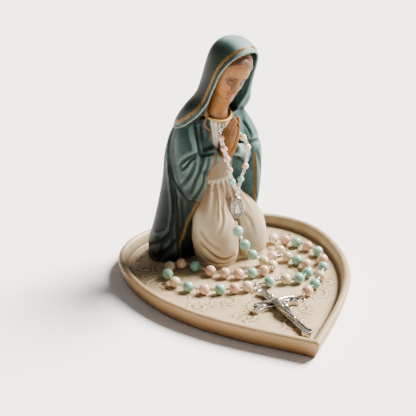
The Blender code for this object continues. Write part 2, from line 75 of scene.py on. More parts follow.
class Wire:
    """A socket of a finish's node tree, so that a finish is written as sums."""

    def __init__(self, tree, socket):
        self.tree = tree
        self.socket = socket

    def node(self, kind, settings, sockets, out=0):
        """Add any node: its settings first, then the values or wires of its sockets."""
        made = self.tree.nodes.new(kind)
        for key, value in settings.items():
            if key == "stops":
                first, *middle, last = value
                ends = made.color_ramp.elements
                ends[0].position, ends[0].color = first[0], (*first[1], 1.0)
                ends[1].position, ends[1].color = last[0], (*last[1], 1.0)
                for place, color in middle:
                    ends.new(place).color = (*color, 1.0)
            else:
                setattr(made, key, value)
        for key, value in sockets.items():
            if isinstance(value, Wire):
                self.tree.links.new(value.socket, made.inputs[key])
            elif isinstance(value, tuple) and len(made.inputs[key].default_value) == 4:
                made.inputs[key].default_value = (*value[:3], 1.0)
            else:
                made.inputs[key].default_value = value
        return Wire(self.tree, made.outputs[out])

    def sum(self, operation, *values):
        return self.node("ShaderNodeMath", {"operation": operation}, dict(enumerate(values)))

    def __add__(self, other):
        return self.sum("ADD", self, other)

    __radd__ = __add__

    def __sub__(self, other):
        return self.sum("SUBTRACT", self, other)

    def __rsub__(self, other):
        return self.sum("SUBTRACT", other, self)

    def __mul__(self, other):
        return self.sum("MULTIPLY", self, other)

    __rmul__ = __mul__

    def over(self, low, high):
        """0 at low and 1 at high, with soft ends."""
        return self.node("ShaderNodeMapRange", {"interpolation_type": "SMOOTHSTEP"},
                         {0: self, 1: low, 2: high, 3: 0.0, 4: 1.0})

    def blend(self, below, above, kind="MIX"):
        """The colour below, covered by the colour above where this wire is 1."""
        return self.node("ShaderNodeMix", {"data_type": "RGBA", "blend_type": kind},
                         {0: self, 6: below, 7: above}, 2)

    def noise(self, scale, detail=3.0, rough=0.55):
        """Cloudy noise over this position wire, scale in patches per metre."""
        return self.node("ShaderNodeTexNoise", {}, {
            "Vector": self, "Scale": scale, "Detail": detail, "Roughness": rough})

    def read(self, name):
        """A number that the mesh carries for each of its points."""
        return self.node("ShaderNodeAttribute", {"attribute_name": name}, {}, 2)


def finish(name, **fixed):
    """A new material with the shader's fixed values; returns it, its shader and places."""
    made = bpy.data.materials.new(name)
    made.use_nodes = True
    shader = made.node_tree.nodes["Principled BSDF"]
    for key, value in fixed.items():
        shader.inputs[key.replace("_", " ")].default_value = value
    seed = Wire(made.node_tree, None)
    place = seed.node("ShaderNodeTexCoord", {}, {}, 3)
    return made, shader, place


def wear(shader, place, **looks):
    """Link the wires that vary over the surface; relief is (height, strength, depth)."""
    for key, value in looks.items():
        if key == "relief":
            height, strength, depth = value
            value = place.node("ShaderNodeBump", {}, {
                "Strength": strength, "Distance": depth, "Height": height})
            key = "Normal"
        place.tree.links.new(value.socket, shader.inputs[key.replace("_", " ")])


SILVER, shader, place = finish("wiped_silver", Metallic=1.0)
grime = place.noise(2600.0).over(0.42, 0.72)
hollow = place.read("hollow").over(-0.05, 0.5)
tarnish = place.sum("MAXIMUM", hollow, grime * 0.35)
wear(shader, place,
     Base_Color=tarnish.blend((0.70, 0.67, 0.61), (0.03, 0.026, 0.021)),
     Roughness=0.2 + 0.35 * tarnish,
     relief=(place.noise(5200.0), 0.25, 0.00005))

# ---------------------------------------------------------------- strand and hand loop
# The rosary is a limp chain: pins of silver wire pass through the pearls, each pin ends
# in two eyes, and the eyes hook into one another. It hangs over the thumbs by its loop,
# and the strand falls from the medal into the tray and lies there up to the crucifix.

# The kneeling figure's own directions: it faces -Y, turned 18 degrees in the tray.
FIGURE = Matrix.Translation((-2.2, 26.5, 0.0)) @ Matrix.Rotation(math.radians(18.0), 4, "Z")
# Radii in millimetres, as all sizes here are until MM turns them into metres.
PIN = 0.176
EYE = 0.55
EYE_WIRE = 0.17
EYE_LONG = 1.35
PEARL = 2.1
SMALL_PEARL = 1.3
PATH_STEP = 0.5
PATH_SMOOTHINGS = 15
STRAND_START = Vector((-0.8, 14.3, 23.7))
STRAND_END = Vector((12.9, -17.2, 4.4))
# Colours of the large pearls, from the medal to the crucifix.
STRAND_ORDER = (
    "mint mint mint cream cream pink mint pink pink pink mint pink cream mint cream mint pink "
    "mint pink cream mint cream mint mint pink mint cream pink cream cream pink mint pink mint "
    "pink mint pink mint pink").split()
# The loop over the hands, in the figure's own directions, and the pearl at each place.
LOOP = (
    (-2.0, -12.0, 36.6, None), (-4.0, -11.7, 40.3, "mint"), (-5.2, -11.5, 45.2, "pink"),
    (-6.6, -11.7, 50.1, "pink"), (-7.5, -11.0, 54.1, "pink"), (-7.6, -9.4, 57.9, "pink"),
    (-5.4, -6.0, 59.0, None), (-2.8, -5.4, 59.0, None), (0.0, -6.0, 58.6, None),
    (3.2, -9.5, 55.6, "cream"), (4.0, -11.2, 52.0, "pink"), (2.5, -11.7, 44.9, "pink"),
    (0.2, -11.8, 40.3, "mint"), (-0.9, -12.0, 36.7, None),
)


def new_object(name, mesh, *materials):
    made = bpy.data.objects.new(name, mesh)
    bpy.context.scene.collection.objects.link(made)
    for material in materials:
        mesh.materials.append(material)
    return made


def grid_mesh(name, rows, round_rows=True, caps=False):
    """A skin over rows of points in millimetres; round rows close on themselves."""
    rows = np.asarray(rows, dtype=float)
    count, width = rows.shape[:2]
    index = np.arange(count * width).reshape(count, width)
    if round_rows:
        index = np.concatenate([index, index[:, :1]], axis=1)
    quads = np.stack([index[:-1, :-1], index[:-1, 1:], index[1:, 1:], index[1:, :-1]], axis=-1)
    faces = quads.reshape(-1, 4).tolist()
    points = rows.reshape(-1, 3)
    if caps:
        low, high = len(points), len(points) + 1
        points = np.vstack([points, rows[0].mean(axis=0), rows[-1].mean(axis=0)])
        faces += [[low, b, a] for a, b in zip(index[0, :-1], index[0, 1:])]
        faces += [[high, a, b] for a, b in zip(index[-1, :-1], index[-1, 1:])]
    mesh = bpy.data.meshes.new(name)
    mesh.from_pydata((points * MM).tolist(), [], faces)
    mesh.update()
    mesh.shade_smooth()
    return mesh


def spline(points, count, closed=False):
    """Catmull-Rom line through the points, count samples evenly spread over its length."""
    p = np.asarray(points, dtype=float)
    if closed:
        p = np.vstack([p[-1:], p, p[:2]])
    else:
        p = np.vstack([2 * p[0] - p[1], p, 2 * p[-1] - p[-2]])
    fine = []
    for a, b, c, d in zip(p, p[1:], p[2:], p[3:]):
        t = np.linspace(0.0, 1.0, 24, endpoint=False)[:, None]
        fine.append(0.5 * (2 * b + (c - a) * t + (2 * a - 5 * b + 4 * c - d) * t ** 2
                           + (3 * b - a - 3 * c + d) * t ** 3))
    fine = np.vstack(fine + [p[-2:-1]])
    run = np.concatenate([[0.0], np.cumsum(np.linalg.norm(np.diff(fine, axis=0), axis=1))])
    where = np.linspace(0.0, run[-1], count, endpoint=not closed)
    return np.stack([np.interp(where, run, fine[:, k]) for k in range(p.shape[1])], axis=1)


def node_tree(name, sizes):
    """An empty geometry tree with a mesh input and named inputs for its sizes."""
    tree = bpy.data.node_groups.new(name, "GeometryNodeTree")
    tree.interface.new_socket("Points", in_out="INPUT", socket_type="NodeSocketGeometry")
    for label, kind in sizes.items():
        tree.interface.new_socket(label, in_out="INPUT", socket_type="NodeSocket" + kind)
    tree.interface.new_socket("Pieces", in_out="OUTPUT", socket_type="NodeSocketGeometry")
    start, end = tree.nodes.new("NodeGroupInput"), tree.nodes.new("NodeGroupOutput")

    def add(kind, settings=None, **sockets):
        made = tree.nodes.new(kind)
        for key, value in (settings or {}).items():
            setattr(made, key, value)
        for key, value in sockets.items():
            socket = made.inputs[key.replace("_", " ")]
            if isinstance(value, bpy.types.NodeSocket):
                tree.links.new(value, socket)
            else:
                socket.default_value = value
        return made.outputs
    return tree, start.outputs, end.inputs, add


def run_tree(name, mesh, tree, values):
    """Run a tree on a mesh and keep the result as a plain mesh."""
    holder = new_object(name, mesh)
    step = holder.modifiers.new("make", "NODES")
    step.node_group = tree
    for item in tree.interface.items_tree:
        if item.in_out == "INPUT" and item.name in values:
            step[item.identifier] = values[item.name]
    bpy.context.view_layer.update()
    result = holder.evaluated_get(bpy.context.evaluated_depsgraph_get())
    shape = bpy.data.meshes.new_from_object(result)
    bpy.data.objects.remove(holder)
    return shape


THREAD, given, out, add = node_tree("wire_along_points", {
    "Wire Radius": "Float", "Sides": "Int", "Finish": "Material"})
line = add("GeometryNodeMeshToCurve", Mesh=given["Points"])["Curve"]
thick = add("GeometryNodeInputNamedAttribute", {"data_type": "FLOAT"}, Name="thick")["Attribute"]
ring = add("GeometryNodeCurvePrimitiveCircle", Resolution=given["Sides"], Radius=given["Wire Radius"])
tube = add("GeometryNodeCurveToMesh", Curve=line, Profile_Curve=ring["Curve"], Scale=thick,
           Fill_Caps=True)["Mesh"]
whole = add("GeometryNodeRealizeInstances", Geometry=tube)["Geometry"]
painted = add("GeometryNodeSetMaterial", Geometry=whole, Material=given["Finish"])["Geometry"]
THREAD.links.new(painted, out["Pieces"])

STREW, given, out, add = node_tree("one_shape_on_every_point", {
    "Shape": "Object", "Size": "Float", "Finish": "Material"})
way = add("GeometryNodeInputNamedAttribute", {"data_type": "FLOAT_VECTOR"}, Name="way")["Attribute"]
side = add("GeometryNodeInputNamedAttribute", {"data_type": "FLOAT_VECTOR"}, Name="side")["Attribute"]
turn = add("FunctionNodeAlignRotationToVector", {"axis": "Z"}, Vector=way)["Rotation"]
turn = add("FunctionNodeAlignRotationToVector", {"axis": "X", "pivot_axis": "Z"}, Rotation=turn,
           Vector=side)["Rotation"]
model = add("GeometryNodeObjectInfo", Object=given["Shape"])["Geometry"]
strewn = add("GeometryNodeInstanceOnPoints", Points=given["Points"], Instance=model, Rotation=turn,
             Scale=given["Size"])["Instances"]
whole = add("GeometryNodeRealizeInstances", Geometry=strewn)["Geometry"]
painted = add("GeometryNodeSetMaterial", Geometry=whole, Material=given["Finish"])["Geometry"]
STREW.links.new(painted, out["Pieces"])


def thread(name, lines, radius, material, sides=10, taper=None):
    """Round wire along lines of points in millimetres; taper gives each point's share."""
    points, edges, thick = [], [], []
    for line in lines:
        edges += [(len(points) + i, len(points) + i + 1) for i in range(len(line) - 1)]
        points += [Vector(p) * MM for p in line]
        thick += [1.0] * len(line) if taper is None else list(taper(np.linspace(0.0, 1.0, len(line))))
    mesh = bpy.data.meshes.new(name)
    mesh.from_pydata(points, edges, [])
    mesh.attributes.new("thick", "FLOAT", "POINT").data.foreach_set("value", thick)
    return run_tree(name, mesh, THREAD, {"Wire Radius": radius * MM, "Sides": sides, "Finish": material})


def strew(name, shape, points, ways, sides, material, size=1.0):
    """One shape, whose Z follows ways and X follows sides, on every point."""
    mesh = bpy.data.meshes.new(name)
    mesh.from_pydata([Vector(p) * MM for p in points], [], [])
    for label, rows in (("way", ways), ("side", sides)):
        layer = mesh.attributes.new(label, "FLOAT_VECTOR", "POINT")
        layer.data.foreach_set("vector", np.asarray(rows, dtype=float).ravel())
    model = new_object(name + "_shape", shape)
    made = run_tree(name, mesh, STREW, {"Shape": model, "Size": size, "Finish": material})
    bpy.data.objects.remove(model)
    return made


def joined(name, *meshes):
    """Several meshes made one, with nothing welded."""
    build = bmesh.new()
    for mesh in meshes:
        build.from_mesh(mesh)
    made = bpy.data.meshes.new(name)
    build.to_mesh(made)
    build.free()
    for material in meshes[0].materials:
        made.materials.append(material)
    made.shade_smooth()
    return made


def outward(mesh, weld=True):
    """Turn every face outwards, and weld points that coincide."""
    build = bmesh.new()
    build.from_mesh(mesh)
    if weld:
        bmesh.ops.remove_doubles(build, verts=build.verts, dist=1e-7)
    bmesh.ops.recalc_face_normals(build, faces=build.faces)
    build.to_mesh(mesh)
    build.free()
    mesh.shade_smooth()
    return mesh


def ring_mesh(name, major, minor, long=1.0, steps=20, sides=8):
    """A wire eye in the XZ plane, its length along Z stretched by long."""
    turn = np.linspace(0.0, 2.0 * math.pi, steps, endpoint=False)[:, None]
    roll = np.linspace(0.0, 2.0 * math.pi, sides, endpoint=False)[None, :]
    reach = major + minor * np.cos(roll)
    rows = np.stack([reach * np.cos(turn), minor * np.sin(roll) + 0.0 * turn,
                     reach * np.sin(turn) + (long - 1.0) * major * np.sin(turn)], axis=-1)
    rows = np.concatenate([rows, rows[:1]])
    return outward(grid_mesh(name, rows))


def middle(node):
    """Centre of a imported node's box, in millimetres."""
    low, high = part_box(node)
    return (low + high) * 0.5 / MM


def ways_at(points):
    """The way a chain runs at each of its points, halfway between its two neighbours."""
    ends = [Vector(p) for p in (points[0], *points, points[-1])]
    return [((ends[i] - ends[i - 1]).normalized() + (ends[i + 1] - ends[i]).normalized()).normalized()
            for i in range(1, len(ends) - 1)]


def linked_wire(name, stops, pearls, radius):
    """Pins straight through the pearls, their eyes hooked in pairs across the gaps."""
    path, gaps = [], []
    for stop, way, pearl in zip(stops, ways_at(stops), pearls):
        reach = way * radius if pearl else Vector((0, 0, 0))
        if path:
            gaps.append((path[-1], Vector(stop) - reach))
        path += [Vector(stop) + reach * k for k in ((-1, 0, 1) if pearl else (0,))]
    path = np.array([list(p) for p in path])
    run = np.concatenate([[0.0], np.cumsum(np.linalg.norm(np.diff(path, axis=0), axis=1))])
    steps = np.arange(0.0, run[-1], PATH_STEP)
    line = np.stack([np.interp(steps, run, path[:, k]) for k in range(3)], axis=1)
    for _ in range(PATH_SMOOTHINGS):
        line[1:-1] = 0.5 * line[1:-1] + 0.25 * (line[:-2] + line[2:])
    line = [Vector(p) for p in line]
    eyes, ways, sides = [], [], []
    for a, b in gaps:
        way, gap = (b - a).normalized(), (b - a).length
        pairs = max(int(round(gap / (EYE * 3.4))), 1)
        for k in range(2 * pairs):
            eyes.append(a + way * (gap * (k + 0.5) / (2 * pairs)))
            ways.append(way)
            flat = way.cross(Vector((0, 0, 1)) if k % 2 else Vector((0.3, 1, 0.2))).normalized()
            sides.append(flat if k % 2 == 0 else way.cross(flat))
    pins = thread(name + "_pins", [line], PIN, SILVER)
    loops = strew(name + "_eyes", ring_mesh("eye", EYE, EYE_WIRE, EYE_LONG), eyes, ways, sides, SILVER)
    return new_object(name, joined(name, pins, loops)), line


def length_of(line):
    return sum((Vector(b) - Vector(a)).length for a, b in zip(line, line[1:]))


strand_pearls = [middle("bead_%02d_%s" % (i + 1, shade)) for i, shade in enumerate(STRAND_ORDER)]
stops = [STRAND_START] + strand_pearls + [STRAND_END]
strand, strand_line = linked_wire(
    "strand_chain_wire", stops, [False] + [True] * len(strand_pearls) + [False], PEARL)

loop_places = [FIGURE @ Vector(row[:3]) for row in LOOP]
loop_wire, loop_line = linked_wire(
    "hand_loop_wire", loop_places, [bool(row[3]) for row in LOOP], SMALL_PEARL)

# ---------------------------------------------------------------- pearls
# Round glass pearls, drilled through and dipped in a pearl coat in three colours. The
# large ones are 4.2 mm, the nine on the hand loop 2.6 mm.

PEARL_COLOURS = {
    "mint": ((0.17, 0.40, 0.30), (0.34, 0.58, 0.47)),
    "pink": ((0.62, 0.34, 0.23), (0.80, 0.55, 0.42)),
    "cream": ((0.60, 0.46, 0.26), (0.82, 0.70, 0.48)),
}
PEARL_FINISH = {}
for shade, (deep, pale) in PEARL_COLOURS.items():
    PEARL_FINISH[shade], shader, place = finish(
        shade + "_pearl_coat", Coat_Weight=1.0, Coat_Roughness=0.03, Subsurface_Weight=0.15,
        Subsurface_Scale=0.002, Thin_Film_Thickness=330.0, Thin_Film_IOR=1.4)
    bloom = place.noise(260.0, 1.0)
    wear(shader, place, Base_Color=bloom.over(0.30, 0.75).blend(deep, pale),
         Roughness=0.16 + 0.08 * place.noise(1500.0),
         relief=(place.noise(3600.0), 0.06, 0.00005))


PEARL_BORE = 0.3


def pearl_mesh(name, radius, bore, steps=32, rings=18):
    """A drilled ball; its bore runs along Z with a rounded mouth."""
    edge = math.asin(bore / radius)
    tilt = np.linspace(edge, math.pi - edge, rings)
    x = radius * np.sin(tilt)
    z = radius * np.cos(tilt)
    x = np.concatenate([[bore * 0.8], x, [bore * 0.8]])
    z = np.concatenate([[z[0] - bore], z, [z[-1] + bore]])
    turn = np.linspace(0.0, 2.0 * math.pi, steps, endpoint=False)
    x, z = x[:, None], z[:, None]
    rows = np.stack([x * np.cos(turn), x * np.sin(turn), z + 0 * turn], axis=-1)
    return grid_mesh(name, rows[::-1], caps=True)


def pearls(name, shade, points, ways, radius, nodes):
    """All the pearls of one colour and size on one wire, as one piece."""
    sides = [w.orthogonal() for w in ways]
    shape = pearl_mesh(name + "_ball", radius, PEARL_BORE)
    made = new_object(name, strew(name, shape, points, ways, sides, PEARL_FINISH[shade]))
    made.data.shade_smooth()
    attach(made, "rosary")
    if nodes:
        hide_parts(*nodes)
    shade + "_pearl"
    return made


def by_shade(prefix, places, ways, shades, radius, nodes):
    """A wire's pearls, one piece for each colour."""
    made = []
    for shade in PEARL_COLOURS:
        chosen = [i for i, own in enumerate(shades) if own == shade]
        made.append(pearls(prefix + shade, shade, [places[i] for i in chosen],
                           [ways[i] for i in chosen], radius, [nodes[i] for i in chosen if nodes]))
    return made


bead_nodes = ["bead_%02d_%s" % (i + 1, shade) for i, shade in enumerate(STRAND_ORDER)]
strand_pieces = by_shade("strand_pearls_", strand_pearls, ways_at(stops)[1:-1], STRAND_ORDER, PEARL,
                         bead_nodes)
loop_pieces = by_shade("loop_pearls_", loop_places, ways_at(loop_places), [row[3] for row in LOOP],
                       SMALL_PEARL, [])

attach(loop_wire, "rosary")
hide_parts("hand_loop")
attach(strand, "rosary")
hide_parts("strand_chain")
length_of(loop_line) * MM
length_of(strand_line) * MM

# ---------------------------------------------------------------- heart tray
# The tray is cast in one with the kneeling figure in ivory resin. Its floor carries low
# scrolls, its rim is round, and a brown wash has run down its outer wall.

IVORY, shader, place = finish("ivory_resin_tray", Coat_Weight=0.12, Coat_Roughness=0.35,
                              Subsurface_Weight=0.06, Subsurface_Scale=0.003)
height = place.node("ShaderNodeSeparateXYZ", {}, {0: place}, 2)
outer = place.read("outer_wall")
low = (0.0096 - height + 0.0018 * (place.noise(90.0) - 0.5)).over(0.0, 0.0034) * outer
mottle = place.noise(160.0, 4.0).over(0.3, 0.75)
grain = place.noise(1900.0, 4.0, 0.7)
base = mottle.blend((0.37, 0.27, 0.15), (0.47, 0.365, 0.225))
base = place.read("hollow").over(0.0, 0.7).blend(base, (0.17, 0.10, 0.045))
stain = (0.006 - height).over(0.0, 0.006).blend((0.285, 0.16, 0.058), (0.155, 0.07, 0.02))
base = low.blend(base, stain)
wear(shader, place, Base_Color=base, Roughness=0.42 + 0.22 * grain,
     relief=(grain + 0.5 * place.noise(700.0), 0.22, 0.00012))

RIM = 7.5
FLOOR = 3.0
VINE_LIFT, VINE_WIDTH = 0.30, 0.42
LEAF_LIFT, LEAF_WIDTH = 0.24, 0.40
HEART = (
    ((0.0, 46.0), (10.8, 64.9), (43.3, 51.6), (43.3, 22.0)),
    ((43.3, 22.0), (43.3, -13.9), (20.2, -33.4), (0.0, -54.8)),
)


def even(points, count):
    """count points evenly spread along a broken line."""
    run = np.concatenate([[0.0], np.cumsum(np.linalg.norm(np.diff(points, axis=0), axis=1))])
    where = np.linspace(0.0, run[-1], count)
    return np.stack([np.interp(where, run, points[:, k]) for k in range(points.shape[1])], axis=1)


def heart_half(count):
    """Right half of the heart, from the notch round the lobe to the tip."""
    t = np.linspace(0.0, 1.0, 300)[:, None]
    half = np.vstack([(1 - t) ** 3 * np.array(a) + 3 * (1 - t) ** 2 * t * np.array(b)
                      + 3 * (1 - t) * t ** 2 * np.array(c) + t ** 3 * np.array(d) for a, b, c, d in HEART])
    return even(half, count)


def heart_line(count, amount):
    """The whole outline drawn in by amount, run anticlockwise, with both corners sharp."""
    half = heart_half(400)
    along = np.gradient(half, axis=0)
    along /= np.linalg.norm(along, axis=1)[:, None]
    moved = half + amount * np.stack([along[:, 1], -along[:, 0]], axis=1)
    notch = np.array([[0.0, moved[0, 1] - moved[0, 0] * along[0, 1] / along[0, 0]]])
    crossing = 200 + np.argmax(moved[200:, 0] <= 0.0) if (moved[200:, 0] <= 0.0).any() else len(moved)
    moved = moved[:crossing]
    keep = moved[:, 0] > 0.0
    keep[200:] = True
    moved = np.vstack([notch, moved[keep], [[0.0, moved[-1, 1] - moved[-1, 0] * 1.5]]])
    half = even(moved, count // 2 + 1)
    return np.vstack([half, half[1:-1][::-1] * (-1.0, 1.0)])[::-1]


def near_line(points, line):
    """Distance from every point to a dense line of points."""
    best = np.full(len(points), 1e9)
    for spot in line:
        best = np.minimum(best, ((points - spot) ** 2).sum(axis=1))
    return np.sqrt(best)


def scroll(x, y, size, turn, spin, turns=1.4):
    """A spiral with a tail, as drawn in plaster ornament."""
    t = np.linspace(0.0, 1.0, 70)
    angle = turn + spin * turns * 2.0 * math.pi * t
    reach = size * (0.12 + 0.88 * t ** 1.25)
    return np.stack([x + reach * np.cos(angle), y + reach * np.sin(angle)], axis=1)


AROUND = 560
wall = spline([(2.2, 0.0), (1.9, 0.35), (1.0, 2.6), (0.2, 5.4), (0.0, 6.6), (0.45, 7.25), (1.2, RIM),
               (2.1, 7.2), (2.7, 6.4), (3.2, 4.4), (3.6, 3.3), (4.6, FLOOR)], 40)
rows = [np.column_stack([heart_line(AROUND, inset), np.full(AROUND, z)]) for inset, z in wall]
foot = rows[-1][:, :2]
heart_centre = np.array([0.0, 4.0])
inner = np.linspace(1.0, 0.012, 96)[1:]
rows += [np.column_stack([heart_centre + (foot - heart_centre) * s, np.full(AROUND, FLOOR)])
         for s in inner]
tray_rows = np.array(rows)
flat = tray_rows[len(wall) - 1:].reshape(-1, 3)[:, :2]
relief = np.zeros(len(flat))
# Each scroll of the floor: x, y, size, start angle and the way it winds.
VINES = (
    (-30.0, 14.0, 6.5, 0.4, 1), (-22.0, 3.0, 5.5, 2.2, -1), (-33.0, 28.0, 6.0, 5.0, -1),
    (-14.0, -8.0, 6.0, 1.0, 1), (-5.0, -17.0, 5.5, 3.0, -1), (-12.0, -22.0, 4.5, 0.2, 1),
    (9.0, -24.0, 5.5, 2.0, 1), (2.0, -33.0, 5.0, 4.0, -1), (19.0, -15.0, 5.5, 5.5, 1),
    (28.0, -8.0, 5.0, 1.0, -1), (33.0, 9.0, 6.0, 2.0, 1), (28.0, 22.0, 6.0, 0.0, -1),
    (32.0, 34.0, 5.5, 4.0, 1), (20.0, 42.0, 5.5, 2.5, -1), (-20.0, 44.0, 5.5, 1.0, 1),
    (-33.0, 40.0, 4.5, 3.4, -1), (14.0, 0.0, 5.5, 0.8, -1), (0.0, -4.0, 5.0, 5.2, 1),
    (-1.0, -44.0, 3.6, 1.2, 1), (24.0, 8.0, 4.5, 3.0, 1), (-25.0, -8.0, 4.0, 4.4, -1),
)
for vine in [scroll(*row) for row in VINES]:
    centre = vine.mean(axis=0)
    near = ((flat - centre) ** 2).sum(axis=1) < 15.0 ** 2
    lift = VINE_LIFT * np.exp(-(near_line(flat[near], vine) / VINE_WIDTH) ** 2)
    for leaf in range(20, 70, 9):
        spot = vine[leaf]
        out = (spot - centre) / max(np.linalg.norm(spot - centre), 0.1)
        blade = spot + np.outer(np.linspace(0.0, 1.0, 12), out * 2.2 + np.array([-out[1], out[0]]) * 1.3)
        away = near_line(flat[near], blade)
        lift = np.maximum(lift, LEAF_LIFT * np.exp(-(away / LEAF_WIDTH) ** 2))
    relief[near] = np.maximum(relief[near], lift)
border = near_line(flat, foot[::2])
relief *= np.clip((border - 0.6) / 1.4, 0.0, 1.0)
tray_rows[len(wall) - 1:, :, 2] += relief.reshape(-1, AROUND)
tray = new_object("tray", grid_mesh("tray", tray_rows, caps=True), IVORY)


def carry(made, name, numbers):
    """Store one number for each point of the mesh."""
    layer = made.data.attributes.new(name, "FLOAT", "POINT")
    layer.data.foreach_set("value", np.asarray(numbers, dtype=np.float32))


def read_points(mesh, what):
    got = np.empty(len(mesh.vertices) * 3)
    mesh.vertices.foreach_get(what, got)
    return got.reshape(-1, 3)


def points_of(mesh):
    return read_points(mesh, "co")


def normals_of(mesh):
    return read_points(mesh, "normal")


def put_points(mesh, points):
    mesh.vertices.foreach_set("co", np.asarray(points, dtype=np.float32).ravel())
    mesh.update()


def hollowness(mesh, reaches=(2, 8, 24), scale=0.35):
    """How deep each point lies below its surroundings: the wash gathers there."""
    points, normals = points_of(mesh) / MM, normals_of(mesh)
    ends = np.empty(len(mesh.edges) * 2, dtype=np.int64)
    mesh.edges.foreach_get("vertices", ends)
    a, b = ends[0::2], ends[1::2]
    links = np.bincount(a, minlength=len(points)) + np.bincount(b, minlength=len(points))
    links = np.maximum(links, 1)[:, None]
    soft, total, done = points.copy(), np.zeros(len(points)), 0
    for reach in reaches:
        for _ in range(done, reach):
            gathered = np.stack([np.bincount(a, soft[b, k], len(points))
                                 + np.bincount(b, soft[a, k], len(points)) for k in range(3)], axis=1)
            soft = 0.3 * soft + 0.7 * gathered / links
        done = reach
        total += np.einsum("ij,ij->i", soft - points, normals)
    return np.clip(total / scale, -1.0, 1.0)


# The first rows of the tray are its outer wall; the last two points are the caps.
row_of_point = np.repeat(np.arange(len(tray_rows)), AROUND)
on_wall = np.zeros(len(tray.data.vertices))
on_wall[:len(row_of_point)] = np.clip((24.0 - row_of_point) / 4.0, 0.0, 1.0)
carry(tray, "outer_wall", on_wall)
carry(tray, "hollow", hollowness(tray.data, (3, 9), 0.16))
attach(tray, "statue")
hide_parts("heart_tray")

# ---------------------------------------------------------------- gown
# The kneeling figure's gown, cast with the tray and painted cream over a brown wash: a
# skirt drawn tight over two knees, with a pleated bodice above the seam at the waist.

CREAM, shader, place = finish("cream_gown_paint", Coat_Weight=0.08, Coat_Roughness=0.4,
                              Subsurface_Weight=0.05, Subsurface_Scale=0.002)
hollow = place.read("hollow")
height = place.node("ShaderNodeSeparateXYZ", {}, {0: place}, 2)
mottle = place.noise(210.0, 4.0).over(0.3, 0.75)
grain = place.noise(2300.0, 4.0, 0.7)
base = mottle.blend((0.33, 0.245, 0.14), (0.42, 0.32, 0.20))
# Painted light: the upper bodice is painted far paler, as if in full light, with less wash in its folds.
lit_breast = height.over(0.050, 0.054)
# Painted shade: a dark band over the lap and lower bodice, under the forearms and hands.
shaded_lap = height.over(0.016, 0.032) * (0.051 - height).over(0.0, 0.003)
base = (lit_breast * 0.9).blend(base, (0.74, 0.70, 0.60))
base = (shaded_lap * 0.85).blend(base, (0.165, 0.094, 0.036))
base = (hollow.over(0.05, 0.9) * (1.0 - 0.5 * lit_breast)).blend(base, (0.15, 0.085, 0.034))
base = ((0.0 - hollow).over(0.1, 0.9) * 0.5).blend(base, (0.70, 0.60, 0.46))
wear(shader, place, Base_Color=base, Roughness=0.45 + 0.2 * grain,
     relief=(grain + 0.4 * place.noise(800.0), 0.2, 0.0001))


def levels(table, count):
    """A table of (height, lobes) filled in to count smooth levels."""
    flat = [[z] + [n for lobe in lobes for n in lobe] for z, lobes in table]
    fine = spline(flat, count)
    order = np.argsort(fine[:, 0])
    fine = fine[order]
    return [(row[0], row[1:].reshape(-1, 4)) for row in fine]


def plan_rows(table, count, steps, blend=14.0, grow=0.0):
    """Outlines round a few ellipses at each level, with soft valleys between them."""
    turn = np.linspace(0.0, 2.0 * math.pi, steps, endpoint=False)
    dx, dy = np.cos(turn), np.sin(turn)
    rows = []
    for z, lobes in levels(table, count):
        px, py = lobes[:, 0].mean(), lobes[:, 1].mean()
        total = np.zeros(steps)
        for cx, cy, a, b in lobes:
            a, b = a + grow, b + grow
            ox, oy = px - cx, py - cy
            qa = (dx / a) ** 2 + (dy / b) ** 2
            qb = 2.0 * (ox * dx / a ** 2 + oy * dy / b ** 2)
            under = qb * qb - 4.0 * qa * ((ox / a) ** 2 + (oy / b) ** 2 - 1.0)
            reach = np.where(under > 0.0, (-qb + np.sqrt(np.maximum(under, 0.0))) / (2.0 * qa), 0.01)
            total += np.maximum(reach, 0.01) ** blend
        reach = (total / 1.15) ** (1.0 / blend)
        rows.append(np.stack([px + reach * dx, py + reach * dy, np.full(steps, z)], axis=1))
    return np.array(rows)


def on_figure(points):
    """From the figure's own directions to the tray's, both in millimetres."""
    return np.asarray(points) @ np.array(FIGURE.to_3x3()).T + np.array(FIGURE.translation)


def surface_of(mesh):
    """A search tree for the nearest place on the mesh."""
    return BVHTree.FromPolygons([v.co for v in mesh.vertices], [p.vertices[:] for p in mesh.polygons])


def stroke(mesh, lines):
    """Tool strokes: (points, depth, width) sinks a soft groove, or lifts a fold below 0."""
    tree = surface_of(mesh)
    points, normals = points_of(mesh), normals_of(mesh)
    moved = np.zeros(len(points))
    for line, depth, width in lines:
        path = np.array([tree.find_nearest(Vector(spot))[0] for spot in on_figure(spline(line, 48)) * MM])
        low, high = path.min(axis=0) - 3 * width * MM, path.max(axis=0) + 3 * width * MM
        near = np.where(((points > low) & (points < high)).all(axis=1))[0]
        best, fade = np.full(len(near), 1e9), np.zeros(len(near))
        taper = np.sin(np.linspace(0.12, math.pi - 0.12, len(path))) ** 0.5
        for spot, weight in zip(path, taper):
            away = np.linalg.norm(points[near] - spot, axis=1)
            closer = away < best
            best[closer], fade[closer] = away[closer], weight
        moved[near] -= depth * MM * fade * np.exp(-(best / (width * MM)) ** 2)
    put_points(mesh, points + normals * moved[:, None])


